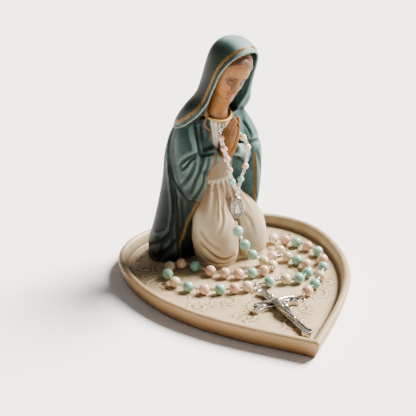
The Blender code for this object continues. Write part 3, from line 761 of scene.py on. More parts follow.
# Plan outlines: height, then the lobes at it as (x, y, half width, half depth).
SKIRT = [
    (3.05, [(-1.5, -0.5, 7.5, 7.6), (12.5, -0.5, 8.2, 8.6), (5, 2, 13.5, 8.5)]),
    (8.0, [(-2.2, -1.2, 8.6, 8.8), (12.0, -1.3, 8.8, 9.2), (5, 2, 14.2, 8.5)]),
    (14.0, [(-3.0, -1.2, 9.0, 8.8), (11.4, -1.2, 9.2, 9.0), (4, 2, 14.5, 8.5)]),
    (20.0, [(-3.8, -1.2, 8.8, 7.8), (9.8, -1.0, 9.0, 8.0), (3, 2, 13, 8)]),
    (26.0, [(-4.6, -0.4, 7.6, 6.6), (6.5, -0.3, 7.8, 6.8), (1, 2, 12, 7.5)]),
    (32.0, [(-4.0, 0.5, 6.6, 5.8), (2.0, 0.5, 6.6, 5.8), (-1, 2, 10, 7)]),
    (38.5, [(-2.2, 2, 7.9, 5.7), (-2.2, 2, 7.9, 5.7), (-2.2, 2, 7.9, 5.7)]),
]
rows = plan_rows(SKIRT, 150, 260, 22.0)
front = np.clip((1.0 - rows[..., 1]) / 3.0, 0.0, 1.0)
front = front * np.clip((rows[..., 2] - 22.0) / 9.0, 0.0, 1.0)
fan = 1.0 + 0.07 * (38.5 - rows[..., 2])
rows[..., 1] -= 0.3 * front * np.cos(2.0 * math.pi * (rows[..., 0] + 2.0) / 2.1 / fan)
skirt = grid_mesh("gown_skirt_cloth", on_figure(rows), caps=True)
stroke(skirt, [
    ([(3.6, -8, 4), (3.9, -8, 12), (3.2, -7, 20), (0.5, -6, 27), (-1.5, -6, 34)], 0.9, 1.1),
    ([(-7, -7, 36.5), (-6.5, -8, 30), (-7.5, -8, 24)], 0.45, 0.8),
    ([(-3.5, -7, 37), (-3.4, -8, 31), (-4.6, -9, 24), (-7.5, -9, 19)], 0.5, 0.8),
    ([(-0.6, -7, 37), (-0.2, -8, 31), (-1.2, -9, 25)], 0.5, 0.8),
    ([(1.6, -5, 36), (2.6, -6, 30), (4.6, -7, 25)], 0.4, 0.8),
    ([(-11.5, -3, 14), (-9.5, -7, 9.5), (-5.5, -9.5, 7.4), (-0.5, -10, 8.0)], 0.55, 0.9),
    ([(-11.5, -2, 9), (-9.0, -6, 5.6), (-4.5, -9, 4.6), (0.5, -9.5, 5.2)], 0.45, 0.7),
    ([(-11.0, -4, 11.6), (-8.0, -8, 7.4), (-3.5, -10, 6.0)], -0.45, 0.8),
    ([(-12, -3, 19), (-11, -6, 15), (-8, -9.5, 12)], 0.35, 0.9),
    ([(6, -10, 8), (9, -11, 5.4), (14, -11, 5.2), (18, -9, 7)], 0.4, 0.8),
    ([(5, -8, 24), (8, -9, 20), (9.5, -10, 14)], 0.3, 1.0),
    ([(0.5, -9, 23), (2.2, -9.5, 18), (2.4, -9.5, 12)], -0.3, 0.9),
    ([(14, -5, 20), (17, -6, 15), (18.5, -7, 9)], 0.3, 1.1),
])
skirt_piece = new_object("gown_skirt_cloth", skirt, CREAM)
carry(skirt_piece, "hollow", hollowness(skirt, (3, 10, 26), 0.30))
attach(skirt_piece, "statue")
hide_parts("gown_skirt")

BODICE = [
    (38.0, [(-2.2, 2.0, 7.9, 5.7)]),
    (38.7, [(-2.2, 2.0, 8.6, 6.25)]),
    (40.0, [(-2.2, 2.0, 8.7, 6.35)]),
    (46.0, [(-2.3, 2.0, 9.1, 6.6)]),
    (52.0, [(-2.4, 2.1, 9.6, 7.0)]),
    (57.0, [(-2.3, 2.2, 8.7, 6.9)]),
    (60.5, [(-2.2, 2.0, 7.6, 6.7)]),
    (62.6, [(-2.2, 2.0, 6.6, 6.4)]),
    (63.6, [(-2.3, 2.2, 5.4, 4.8)]),
]
rows = plan_rows(BODICE, 90, 300)
front = np.clip((0.5 - rows[..., 1]) / 2.5, 0.0, 1.0)
across = rows[..., 0] + 2.4
fan = 1.0 + 0.25 * (rows[..., 2] - 64.0) / 24.0
pleat = np.cos(2.0 * math.pi * across / 1.45 / np.maximum(fan, 0.3))
pleat = np.sign(pleat) * np.abs(pleat) ** 0.8
fold = 0.24 * np.clip((rows[..., 2] - 50.0) / 3.0, 0.22, 1.0)
rows[..., 1] -= front * fold * pleat
bodice = new_object("gown_bodice_cloth", grid_mesh("gown_bodice_cloth", on_figure(rows), caps=True), CREAM)
carry(bodice, "hollow", hollowness(bodice.data, (2, 6, 12), 0.5))
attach(bodice, "statue")
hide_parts("gown_bodice")

# ---------------------------------------------------------------- veil, mantle and sleeves
# One casting too: a hood and cape that fall from the crown to the floor, over a coat
# with wide sleeves. Teal paint lies over a dark green-brown base that stays in the
# folds, and a gold line follows the front edges.

TEAL, shader, place = finish("teal_mantle_paint", Specular_IOR_Level=0.12)
hollow = place.read("hollow")
# The cape share: the dark cape paint, and painted shade on the statue's right-hand side.
cape_and_shade = place.read("cape")
mottle = place.noise(150.0, 5.0, 0.6).over(0.3, 0.75)
grain = place.noise(2100.0, 4.0, 0.7)
# Pale paint rubbed onto raised places; on the sunlit top of the hood it is a painted highlight.
rub_and_highlight = (0.0 - hollow).over(0.15, 0.85)
coat_paint = mottle.blend((0.026, 0.062, 0.061), (0.060, 0.116, 0.110))
# The dark cape colour, laid on also as painted shade on the side turned from the sun.
cape_and_shade_paint = mottle.blend((0.006, 0.010, 0.0075), (0.015, 0.021, 0.016))
base = cape_and_shade.over(0.0, 1.0).blend(coat_paint, cape_and_shade_paint)
# The pale rub is kept off the cape and off the painted shade.
base = (rub_and_highlight * (1.0 - 0.85 * cape_and_shade) * 0.85).blend(base, (0.20, 0.30, 0.28))
base = hollow.over(0.05, 0.9).blend(base, (0.006, 0.010, 0.008))
gilt = (0.60 - place.read("edge") + 0.35 * (grain - 0.5)).over(-0.10, 0.14)
gold_paint = grain.over(0.3, 0.7).blend((0.055, 0.027, 0.006), (0.19, 0.105, 0.03))
base = gilt.blend(base, gold_paint)
brim = place.read("brim")
base = ((0.26 - brim).over(-0.1, 0.2) * 0.7).blend(base, (0.28, 0.31, 0.26))
wear(shader, place, Base_Color=base, Roughness=0.42 + 0.2 * grain - 0.1 * gilt, Metallic=0.2 * gilt,
     relief=(grain + 0.4 * place.noise(800.0), 0.2, 0.0001))


def solid(name, rows):
    """A closed body from plan rows in the figure's own directions."""
    return new_object(name, outward(grid_mesh(name, on_figure(rows), caps=True), weld=False))


def bent_rows(stations, count, steps=36, grow=0.0):
    """Rings along a bent line of stations (x, y, z, half width, half depth)."""
    fine = spline(stations, count)
    centres = fine[:, :3]
    along = np.gradient(centres, axis=0)
    along /= np.linalg.norm(along, axis=1)[:, None]
    side = np.array([1.0, 0.0, 0.0]) - along * along[:, :1]
    side /= np.linalg.norm(side, axis=1)[:, None]
    deep = np.cross(along, side)
    turn = np.linspace(0.0, 2.0 * math.pi, steps, endpoint=False)
    a, b = fine[:, 3] + grow, fine[:, 4] + grow
    return (centres[:, None] + side[:, None] * (a[:, None] * np.cos(turn))[..., None]
            + deep[:, None] * (b[:, None] * np.sin(turn))[..., None])


def repaint(made, material):
    """Give a piece one paint, in place of whatever its parts carried."""
    made.data.materials.clear()
    made.data.materials.append(material)


def with_step(made, kind, **settings):
    """Apply one modifier and keep its result as the object's own mesh."""
    step = made.modifiers.new(kind.lower(), kind)
    for key, value in settings.items():
        setattr(step, key, value)
    bpy.context.view_layer.update()
    result = made.evaluated_get(bpy.context.evaluated_depsgraph_get())
    shape = bpy.data.meshes.new_from_object(result)
    made.modifiers.clear()
    made.data = shape
    return made


def carve(made, tool):
    """Cut one closed body out of another and drop the tool."""
    with_step(made, "BOOLEAN", operation="DIFFERENCE", solver="EXACT", object=tool)
    bpy.data.objects.remove(tool)
    return made


def fused(name, bodies, voxel, smooth=4):
    """Closed bodies melted into one skin of even small faces."""
    made = new_object(name, joined(name, *[body.data for body in bodies]))
    for body in bodies:
        bpy.data.objects.remove(body)
    with_step(made, "REMESH", mode="VOXEL", voxel_size=voxel * MM)
    with_step(made, "SMOOTH", factor=0.5, iterations=smooth)
    made.data.shade_smooth()
    return made


# The two edges run up the front opening of the coat; heights are in millimetres. Each
# sleeve is an upper and a fore part, by stations (x, y, z, half width, half depth).
MANTLE = [
    (3.05, [(5.5, 2.0, 17.0, 9.6), (-9.5, 14.6, 11.5, 10.0), (-1.0, 8.0, 8.0, 6.0)]),
    (10.0, [(5.0, 2.6, 17.4, 10.4), (-9.0, 14.0, 12.3, 10.0), (-1.0, 9.0, 10.0, 7.5)]),
    (18.0, [(4.0, 3.4, 17.5, 11.0), (-7.5, 12.6, 12.5, 9.5), (-1.6, 9.4, 12.6, 8.6)]),
    (28.0, [(2.0, 3.5, 17.5, 11.0), (-5.5, 11.2, 13.2, 8.5), (-1.6, 8.8, 14.2, 8.8)]),
    (38.0, [(0.0, 3.5, 17.5, 11.0), (-3.5, 10.0, 14.0, 8.0), (-1.6, 7.8, 14.6, 8.6)]),
    (48.0, [(-0.5, 3.5, 17.0, 10.4), (-2.5, 9.0, 14.5, 8.0), (-1.5, 7.0, 14.4, 8.6)]),
    (56.0, [(-0.5, 4.0, 16.2, 9.4), (-1.5, 7.5, 13.5, 7.5), (-1.2, 6.2, 13.4, 8.0)]),
    (63.6, [(-0.6, 4.5, 13.2, 7.8), (-1.0, 5.0, 11.5, 6.4), (-0.8, 4.6, 11.4, 6.6)]),
]
VEIL = [
    (46.0, [(-0.8, 7.4, 12.6, 7.6)]),
    (52.0, [(-0.6, 7.6, 14.4, 8.9)]),
    (58.2, [(-0.5, 6.8, 14.9, 9.2)]),
    (61.8, [(-0.6, 4.7, 15.5, 9.7)]),
    (67.0, [(-0.9, 0.8, 14.3, 10.2)]),
    (72.0, [(-0.9, -3.3, 11.4, 10.8)]),
    (78.0, [(-1.0, -6.3, 10.2, 11.3)]),
    (84.0, [(-1.0, -8.0, 9.7, 11.0)]),
    (89.5, [(-0.9, -8.4, 8.4, 9.4)]),
    (92.8, [(-0.8, -8.3, 6.0, 6.9)]),
    (94.5, [(-0.8, -8.2, 3.3, 3.8)]),
    (95.0, [(-0.8, -8.2, 0.4, 0.5)]),
]
HOLLOW = [
    (57.0, [(-1.5, 3.0, 9.5, 6.0)]),
    (61.0, [(-1.5, 1.5, 9.5, 7.0)]),
    (67.0, [(-1.6, -0.6, 9.6, 8.2)]),
    (72.0, [(-1.4, -4.2, 9.6, 9.4)]),
    (78.0, [(-1.2, -7.2, 8.9, 10.2)]),
    (84.0, [(-1.0, -8.8, 8.4, 9.9)]),
    (89.5, [(-0.9, -9.0, 7.0, 8.2)]),
    (92.8, [(-0.9, -9.0, 3.6, 4.4)]),
]
SLEEVES = (
    ([(-10.6, 3.8, 62.4, 3.6, 4.0), (-12.8, 2.8, 55.0, 5.0, 5.8), (-13.6, 1.2, 48.0, 5.2, 6.6),
      (-13.2, 0.0, 40.0, 5.2, 6.4), (-12.6, 0.6, 33.0, 3.4, 4.6)],
     [(-13.6, -0.6, 44.0, 4.8, 4.8), (-10.4, -4.0, 48.2, 3.6, 3.8), (-6.4, -6.8, 51.0, 2.7, 2.8)]),
    ([(9.2, 3.4, 62.4, 3.6, 4.0), (11.6, 1.8, 55.0, 5.0, 5.8), (13.8, -0.4, 48.0, 4.6, 5.8),
      (15.4, -0.8, 40.0, 3.2, 5.2), (16.6, 0.0, 31.0, 2.5, 4.4), (17.8, 1.8, 22.0, 1.9, 3.6),
      (18.4, 3.2, 16.5, 1.3, 2.6)],
     [(12.4, -1.2, 44.5, 3.2, 3.4), (7.8, -4.2, 47.6, 2.5, 2.7), (1.8, -6.8, 50.4, 2.2, 2.4)]),
)
LEFT_EDGE = [(-12.3, 8.4, 3.0), (-13.8, 7.0, 6.5), (-14.6, 4.6, 15.2), (-14.0, 2.0, 22.1),
             (-13.4, -2.0, 29.1), (-11.6, -5.0, 36.8), (-10.0, -6.4, 44.5), (-8.6, -6.6, 52.0),
             (-8.0, -5.0, 58.0), (-7.0, -3.0, 64.5)]
RIGHT_EDGE = [(19.4, 9.0, 3.0), (19.4, 8.6, 6.5), (19.4, 6.0, 13.0), (18.6, 2.6, 17.6),
              (16.9, -3.0, 23.0), (15.0, -4.4, 34.0), (13.4, -5.4, 43.6), (9.0, -5.6, 51.0),
              (4.6, -4.6, 57.0), (2.6, -3.0, 64.5)]

coat = solid("coat_body", plan_rows(MANTLE, 60, 120, 10.0))
left_edge = spline(LEFT_EDGE, 40)
right_edge = spline(RIGHT_EDGE, 40)


def at_height(line, z):
    return [np.interp(z, line[:, 2], line[:, k]) for k in range(2)] + [z]


rows = []
for z in np.linspace(2.0, 66.0, 33):
    rows.append([at_height(left_edge, z), (-36, -36, z), (36, -36, z), at_height(right_edge, z),
                 (1.0, 6.0, z)])
carve(coat, solid("front_opening", np.array(rows, dtype=float)))

hood = solid("hood_body", plan_rows(VEIL, 60, 120))
carve(hood, solid("hood_hollow", plan_rows(HOLLOW, 40, 90)))
FACE_EDGE = [(-17.8, 91.6), (-15.2, 88.6), (-12.4, 84.4), (-10.2, 80.0), (-8.0, 75.0), (-6.2, 70.5),
             (-3.6, 66.4), (0.0, 63.0), (4.0, 60.4)]
FACE_EDGE_END = [(8.0, 59.0), (13.0, 58.4)]
profile = np.vstack([spline(FACE_EDGE, 40), FACE_EDGE_END, [(13.0, 44.0), (-40.0, 44.0), (-40.0, 91.6)]])
rows = [[(x, y, z) for y, z in profile] for x in (-22.0, 22.0)]
carve(hood, solid("face_opening", np.array(rows)[:, ::-1]))

CAPE_EDGE = [(2.0, 13.5), (8.0, 11.8), (14.5, 9.9), (18.5, 8.0), (24.0, 7.2), (32.0, 7.0), (40.0, 8.0),
             (47.0, 9.0), (54.0, 10.4), (60.0, 9.0), (66.0, 8.0)]
CAPE_TOP = (61.0, [(-0.6, 4.6, 13.4, 7.4), (-1.0, 5.4, 11.6, 6.4), (-0.8, 4.8, 11.4, 6.6)])
CAPE_THICK = 0.75
cape = solid("cape_body", plan_rows(MANTLE[:-1] + [CAPE_TOP], 60, 120, 10.0, CAPE_THICK))
edge_rows = np.vstack([spline(CAPE_EDGE, 40)[:, ::-1], [(-40.0, 66.0), (-40.0, 2.0)]])
rows = [[(x, y, z) for y, z in edge_rows] for x in (-30.0, 34.0)]
carve(cape, solid("cape_front", np.array(rows)))

bodies = [coat, hood, cape]
for upper, fore in SLEEVES:
    bodies.append(solid("upper_sleeve", bent_rows(upper, 30)))
    bodies.append(solid("fore_sleeve", bent_rows(fore, 20)))
robe = fused("veil_and_mantle", bodies, voxel=0.42, smooth=5)
repaint(robe, TEAL)

stroke(robe.data, [
    ([(-17, 8.6, 47), (-17.2, 7.6, 40), (-17, 6.9, 33), (-17, 6.7, 26), (-17.6, 7.4, 20),
      (-19.2, 9.5, 13)], 0.5, 0.8),
    ([(-14.3, -3.9, 52.1), (-16.0, -3.6, 51.4), (-17.5, -1.9, 50.0), (-18.4, -0.1, 48.0),
      (-18.7, 0.9, 46.2)], 0.8, 0.7),
    ([(-18.5, 0.2, 45.3), (-18.2, -1.5, 46.7), (-17.1, -3.1, 49.3), (-15.0, -4.1, 50.9)], 0.9, 0.6),
    ([(-13.0, -2.4, 58.5), (-13.3, -3.3, 54.5), (-13.5, -4.5, 51.3)], 0.9, 0.8),
    ([(-14.0, 0.4, 60.8), (-14.8, -1.3, 58.2), (-15.0, -2.5, 55.8), (-15.0, -3.6, 52.9)], -0.7, 0.9),
    ([(-13.4, -4.6, 51.3), (-11.2, -5.5, 51.0), (-9.0, -6.8, 51.0)], 0.7, 0.7),
    ([(-12.4, -5.2, 50.8), (-13.6, -6.0, 48.5), (-14.6, -5.4, 45.3), (-16.2, -5.0, 41.5),
      (-16.4, -2.9, 36.8)], 0.6, 0.8),
    ([(-15.4, -4.0, 50.8), (-16.2, -4.5, 47.9), (-17.1, -3.7, 44.6), (-18.0, -1.8, 41.0),
      (-17.1, 2.4, 36.9)], 0.6, 0.8),
    ([(-11.4, -6.9, 50.6), (-12.2, -7.3, 46.1), (-13.3, -6.3, 41.2), (-14.7, -4.3, 36.0),
      (-14.7, -0.8, 31.4)], 0.55, 0.8),
    ([(-16.8, 7.9, 43.7), (-17.4, 6.0, 39.0), (-17.2, 3.7, 36.1), (-16.3, 1.6, 33.4),
      (-15.0, 0.0, 31.0)], 0.9, 0.9),
    ([(-16.6, 5.7, 36.3), (-16.6, 6.3, 30.3), (-16.2, 6.0, 24.4), (-16.0, 5.9, 18.5),
      (-15.8, 5.8, 13.1), (-15.2, 6.3, 7)], 0.9, 0.9),
    ([(-15.6, 2.8, 32), (-15.3, 4.1, 27.2), (-14.9, 4.3, 21.7), (-14.8, 4.9, 15.5),
      (-13.9, 6.5, 8)], 0.7, 0.8),
    ([(-20.1, 14.3, 14.4), (-19.5, 10.6, 16.1), (-18.2, 7.9, 19.0)], -0.8, 1.1),
    ([(-20.9, 13.5, 5.8), (-19.9, 10.3, 8.0), (-18.4, 7.8, 10.2), (-17.1, 6.9, 13.1)], 1.0, 1.0),
    ([(-19.0, 19.5, 6.7), (-20.6, 12.0, 11.8), (-19.3, 9.2, 13.8)], 0.9, 1.0),
    ([(-12.0, 14.5, 55.0), (-13.5, 17.0, 40.0), (-14.5, 20.5, 24.0), (-16.0, 22.0, 6.0)], 0.8, 1.2),
    ([(-8.0, 16.0, 56.5), (-8.5, 18.0, 40.0), (-10.5, 22.0, 22.0), (-11.5, 24.5, 5.0)], 0.9, 1.3),
    ([(-3.0, 16.0, 56.0), (-3.4, 17.5, 40.0), (-5.0, 21.0, 22.0), (-5.5, 23.0, 8.0)], 0.8, 1.2),
    ([(1.5, 15.5, 55.0), (2.0, 16.0, 40.0), (1.0, 17.0, 26.0), (1.0, 17.0, 14.0)], 0.6, 1.3),
    ([(6.5, 14.5, 56.0), (8.0, 14.5, 38.0), (9.0, 13.5, 22.0), (10.0, 12.0, 10.0)], 0.8, 1.2),
    ([(11.0, 12.0, 54.0), (13.5, 11.0, 38.0), (15.5, 9.5, 22.0), (17.0, 8.5, 8.0)], 0.7, 1.1),
    ([(-5.5, 16.0, 50.0), (-6.5, 18.5, 34.0), (-8.0, 22.0, 14.0)], -0.5, 1.2),
    ([(4.2, 15.0, 50.0), (5.2, 15.0, 34.0), (5.6, 14.0, 18.0)], -0.5, 1.2),
    ([(-8.5, 4.0, 90.0), (-10.0, 6.0, 80.0), (-11.5, 9.0, 70.0), (-12.5, 11.5, 62.0)], 0.45, 1.2),
    ([(-3.0, 6.0, 86.0), (-4.0, 9.0, 76.0), (-5.5, 13.0, 66.0)], 0.5, 1.3),
    ([(3.0, 6.0, 88.0), (4.5, 8.5, 78.0), (6.5, 12.0, 67.0)], 0.5, 1.3),
    ([(8.6, -4.6, 50.6), (11.0, -5.4, 50.8), (14.0, -4.8, 50.6), (17.0, -1.6, 49.8)], 0.5, 0.8),
    ([(9.5, -3.2, 59.0), (11.0, -4.2, 55.5), (11.8, -4.6, 52.4)], 0.6, 0.7),
    ([(13.5, -6.6, 46.5), (15.2, -6.2, 42.0), (16.6, -4.6, 36.0)], 0.45, 0.8),
    ([(-12.5, -1.0, 63.5), (-12.6, -0.8, 60.4), (-13.0, -2.4, 57.0)], 0.5, 0.6),
    ([(-10.6, -1.6, 63.0), (-10.5, -1.6, 59.2), (-10.8, -2.6, 55.5)], 0.5, 0.6),
])
coords = points_of(robe.data) / MM
figure_turn = np.array(FIGURE.to_3x3())
own = (coords - np.array(FIGURE.translation)) @ figure_turn
GOLD_LINES = (
    [(-12.3, 8.4, 3.2), (-13.9, 6.8, 6.5), (-14.8, 4.4, 15.2), (-14.2, 1.8, 22.1), (-13.6, -2.2, 29.1),
     (-12.0, -5.0, 35.0), (-10.0, -6.8, 40.0), (-9.6, -7.6, 45.7), (-9.4, -8.2, 49.2),
       (-8.6, -7.9, 51.3)],
    [(12.8, -6.0, 45.6), (13.4, -5.6, 40.0), (14.4, -4.6, 33.3), (15.8, -3.0, 25.0),
      (17.2, -1.2, 19.0)],
)
hood_levels = levels(VEIL, 200)
hood_z = np.array([row[0] for row in hood_levels])
hood_lobe = np.array([row[1][0] for row in hood_levels])


def along_hood(path):
    """Places on both sides of the hood above the points (y, z) of a line seen from its side."""
    found = []
    for y, z in path:
        cx, cy, a, b = (np.interp(z, hood_z, hood_lobe[:, k]) for k in range(4))
        reach = math.sqrt(max(1.0 - ((y - cy) / b) ** 2, 0.0)) * a
        found += [(cx - reach, y, z), (cx + reach, y, z)]
    return on_figure(found)


brim_path = spline(FACE_EDGE + FACE_EDGE_END, 260)[4:]
behind = np.gradient(brim_path, axis=0)
behind /= np.linalg.norm(behind, axis=1)[:, None]
GOLD_BAND_INSET = 2.1
band_path = (brim_path + GOLD_BAND_INSET * np.stack([-behind[:, 1], behind[:, 0]], axis=1))[:235]
gold = np.vstack([on_figure(spline(line, 160)) for line in GOLD_LINES] + [along_hood(band_path)])
brim = along_hood(brim_path)
tree = surface_of(robe.data)
gold, brim = (np.array([tree.find_nearest(Vector(spot))[0] / MM for spot in line * MM])
              for line in (gold, brim))
middle_line = np.stack([np.interp(own[:, 2], hood_z, hood_lobe[:, k]) for k in range(2)], axis=1)
facing = normals_of(robe.data) @ figure_turn
outside = ((own[:, :2] - middle_line) * facing[:, :2]).sum(axis=1) + 4.0 * facing[:, 2] > 0.0
carry(robe, "edge", np.where(outside | (own[:, 2] < 60.0), near_line(coords, gold), 9.0))
carry(robe, "brim", np.where(outside & (own[:, 2] > 57.0), near_line(coords, brim), 9.0))


def ramp(values, start, width):
    """0 before start, 1 past start + width; a negative width runs the other way."""
    return np.clip((values - start) / width, 0.0, 1.0)


# Where the dark cape paint lies: behind the front line, and low at the back of the hood,
# fading out upwards. The same dark colour is painted shade on the side turned from the sun:
# low on the coat's right-hand side, deeper further down, and on the hood's right-hand side.
own_x, own_y, own_z = own.T
front_line = np.interp(own_z, [3, 13, 20, 47, 54, 62], [14, 9.9, 7.6, 9.4, 11.0, 9.5])
cape_and_shade_share = np.clip((own_y - front_line) / 0.8 + 0.5, 0.0, 1.0)
shaded_side_share = (0.62 + 0.33 * ramp(own_z, 47.0, -15.0)) * ramp(own_x, -2.0, -6.0)
hood_shaded_side_share = ramp(own_z, 60.0, 3.0) * ramp(own_x + 0.25 * (own_z - 75.0), 2.5, -6.0)
back_share = ramp(own_y, 9.0, 4.0) * ramp(own_z, 75.0, -14.0)
cape_and_shade_share = np.where(own_z > 61.0, np.maximum(hood_shaded_side_share, back_share),
                      np.maximum(cape_and_shade_share, shaded_side_share))
carry(robe, "cape", cape_and_shade_share)
depth = hollowness(robe.data, (3, 10, 30), 0.6)
# Painted highlight: the hood's top on its sunlit left-hand side counts as raised, so the pale rub shows.
depth -= ramp(own_z, 83.0, 8.0) * ramp(own_x, -6.0, 6.0)
carry(robe, "hollow", np.where(outside | (own_z < 62.0), depth, 0.45 * depth))
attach(robe, "statue")
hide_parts("mantle", "veil", "sleeve_right", "sleeve_left")

# ---------------------------------------------------------------- collar
# A raised round moulding at the neck of the gown, part of the casting, brushed with gold
# paint over the brown wash.

GILT, shader, place = finish("gold_collar_paint", Metallic=0.35)
grain = place.noise(1500.0, 4.0, 0.7)
base = grain.over(0.3, 0.7).blend((0.30, 0.15, 0.035), (0.58, 0.36, 0.11))
wear(shader, place, Base_Color=base, Roughness=0.34 + 0.25 * grain, relief=(grain, 0.3, 0.00012))

turn = np.linspace(0.0, 2.0 * math.pi, 96, endpoint=False)
COLLAR_CENTRE = (-2.2, -0.6, 64.8)
COLLAR_RADIUS = 5.6
COLLAR_THICK = 0.62
tilt = math.radians(27.0)
ring = COLLAR_RADIUS * np.stack([np.cos(turn), np.sin(turn) * math.cos(tilt),
                                 np.sin(turn) * math.sin(tilt)], axis=1) + COLLAR_CENTRE
ring = np.vstack([ring, ring[:1]])
collar = new_object("neck_moulding", thread("neck_moulding", [on_figure(ring)], COLLAR_THICK, GILT, 12,
                                            lambda t: 1.0 + 0.05 * np.sin(t * 190.0)))
collar.data.shade_smooth()
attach(collar, "statue")
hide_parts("collar")

# ---------------------------------------------------------------- head
# The bowed head and neck, cast with the rest and painted in warm skin tones, with the
# brows, closed lids and lips put in with a fine brush.

SKIN, shader, place = finish("painted_skin", Specular_IOR_Level=0.3,
                             Subsurface_Weight=0.08, Subsurface_Scale=0.0008)
tone = place.noise(260.0, 3.0).over(0.3, 0.75).blend((0.19, 0.072, 0.015), (0.25, 0.104, 0.025))
tone = (place.read("blush") * 0.4).blend(tone, (0.40, 0.10, 0.045))
tone = place.read("hollow").over(0.0, 0.8).blend(tone, (0.10, 0.034, 0.010))
tone = (place.read("lips") * 0.9).blend(tone, (0.33, 0.065, 0.045))
tone = (place.read("brush") * 1.6).over(0.0, 0.7).blend(tone, (0.035, 0.012, 0.006))
grain = place.noise(2400.0, 3.0)
wear(shader, place, Base_Color=tone, Roughness=0.40 + 0.15 * grain, relief=(grain, 0.12, 0.00008))

HEAD_PLACE = Vector((-2.0, -8.3, 83.7))
HEAD_SIZE = 0.94
HEAD_TURN = (Matrix.Rotation(math.radians(-13.0), 4, "Z") @ Matrix.Rotation(math.radians(26.0), 4, "X")
             @ Matrix.Rotation(math.radians(14.0), 4, "Y"))
HEAD = FIGURE @ Matrix.Translation(HEAD_PLACE) @ HEAD_TURN


def on_head(points):
    """From the head's own directions, face towards -Y, to the tray's, in millimetres."""
    points = np.asarray(points, dtype=float)
    return points * HEAD_SIZE @ np.array(HEAD.to_3x3()).T + np.array(HEAD.translation)


def bump(x, z, cx, cz, wide, tall):
    return np.exp(-((x - cx) / wide) ** 2 - ((z - cz) / tall) ** 2)


build = bmesh.new()
bmesh.ops.create_icosphere(build, subdivisions=6, radius=1.0)
head_mesh = bpy.data.meshes.new("head_and_face")
build.to_mesh(head_mesh)
build.free()
ball = points_of(head_mesh)
part = ball[:, 2]
knots = [-1.0, -0.9, -0.75, -0.55, -0.3, 0.0, 0.35, 0.7, 1.0]
wide = np.interp(part, knots, [5.4, 6.2, 6.6, 6.8, 6.9, 7.0, 7.4, 7.8, 7.8])
fore = np.interp(part, knots, [6.6, 6.9, 6.4, 6.8, 7.3, 7.9, 8.3, 8.6, 8.6])
back = np.interp(part, knots, [3.0, 5.0, 7.0, 7.4, 7.8, 8.6, 9.2, 9.6, 9.6])
shift = np.interp(part, knots, [-4.5, -4.1, -3.1, -1.8, -0.6, 0.0, 0.0, 0.0, 0.0])
x = ball[:, 0] * wide
y = shift + np.where(ball[:, 1] < 0.0, ball[:, 1] * fore, ball[:, 1] * back)
z = np.where(part > 0.0, part * 8.6, part * 11.9)
face = np.clip(-ball[:, 1] * 2.2 - 0.1, 0.0, 1.0)
side = np.abs(x)
out = np.zeros(len(x))
# Eye sockets, closed eyes, brow ridges and the grooves below the eyes: how far out, then
# the place across, the height, and the half widths across and up.
for lift, *form in ((-1.25, 2.7, -1.6, 1.7, 1.15), (0.95, 2.75, -2.1, 1.25, 0.85),
                    (0.38, 2.6, 0.15, 1.9, 0.6), (-0.22, 2.75, -3.15, 1.4, 0.28)):
    out += lift * bump(side, z, *form)
# The crease of the upper lids, then the ridge of the nose.
out -= 0.22 * np.exp(-((z + 1.05 + 0.22 * (side - 2.75) ** 2) / 0.16) ** 2) * (np.abs(side - 2.75) < 1.5)
slope = np.clip((-0.2 - z) / 5.0, 0.0, 1.0)
lower = np.clip((z + 6.55) / 0.8, 0.0, 1.0)
out += (0.35 + 1.55 * slope ** 1.3) * lower * (z < 0.6) * np.exp(-(x / (0.62 + 0.42 * slope)) ** 2)
# Wings of the nose, nostrils and cheeks.
for lift, *form in ((0.85, 1.02, -5.75, 0.5, 0.5), (-0.28, 0.62, -6.5, 0.3, 0.22),
                    (0.42, 3.6, -4.6, 1.9, 1.7)):
    out += lift * bump(side, z, *form)
# The groove under the nose, both lips with the seam between them, and the chin.
out -= 0.12 * bump(x, z, 0.0, -7.0, 0.3, 0.5)
out += 0.52 * bump(x, z, 0.0, -7.75 + 0.05 * np.cos(x * 3.0), 1.45, 0.42)
out += 0.50 * bump(x, z, 0.0, -8.75, 1.15, 0.42)
out -= 0.34 * np.exp(-((z + 8.22 - 0.035 * x ** 2) / 0.15) ** 2) * np.clip(2.2 - side, 0.0, 1.0)
out -= 0.36 * bump(x, z, 0.0, -9.65, 1.5, 0.4)
out += 0.42 * bump(x, z, 0.0, -10.7, 1.35, 0.95)
y -= out * face
put_points(head_mesh, on_head(np.stack([x, y, z], axis=1)) * MM)
head_mesh.shade_smooth()
# Lines of the fine brush, each a share of paint that fades at its ends.
from_eye = np.abs(side - 2.75)
brow_line = np.abs(z - (0.42 - 0.13 * (side - 2.3) ** 2))
brow = (np.clip(1.4 - brow_line / (0.34 - 0.035 * side), 0, 1)
        * np.clip((side - 0.9) * 4, 0, 1) * np.clip((4.7 - side) * 2, 0, 1))
lid_line = np.abs(z + 2.72 - 0.16 * from_eye ** 2)
lash = np.clip(1.6 - lid_line / 0.2, 0, 1) * np.clip((1.5 - from_eye) * 3, 0, 1)
fold_line = np.abs(z + 1.15 + 0.2 * from_eye ** 2)
fold = 0.5 * np.clip(1.2 - fold_line / 0.14, 0, 1) * np.clip((1.35 - from_eye) * 3, 0, 1)
lips = np.clip(1.6 - ((side / 1.95) ** 2 + ((z + 8.25) / 0.95) ** 2) * 1.5, 0, 1)
seam_line = np.abs(z + 8.22 - 0.035 * x ** 2)
seam = 0.9 * np.clip(1.4 - seam_line / 0.12, 0, 1) * np.clip((1.95 - side) * 3, 0, 1)
brush = np.maximum.reduce([0.75 * brow, lash, fold, seam]) * (face > 0.2)
head = new_object("head_and_face", head_mesh, SKIN)
carry(head, "brush", brush)
carry(head, "lips", lips * (face > 0.2))
carry(head, "blush", bump(side, z, 3.7, -4.9, 1.7, 1.5) * face)
carry(head, "hollow", hollowness(head_mesh, (6, 20, 40), 0.20))
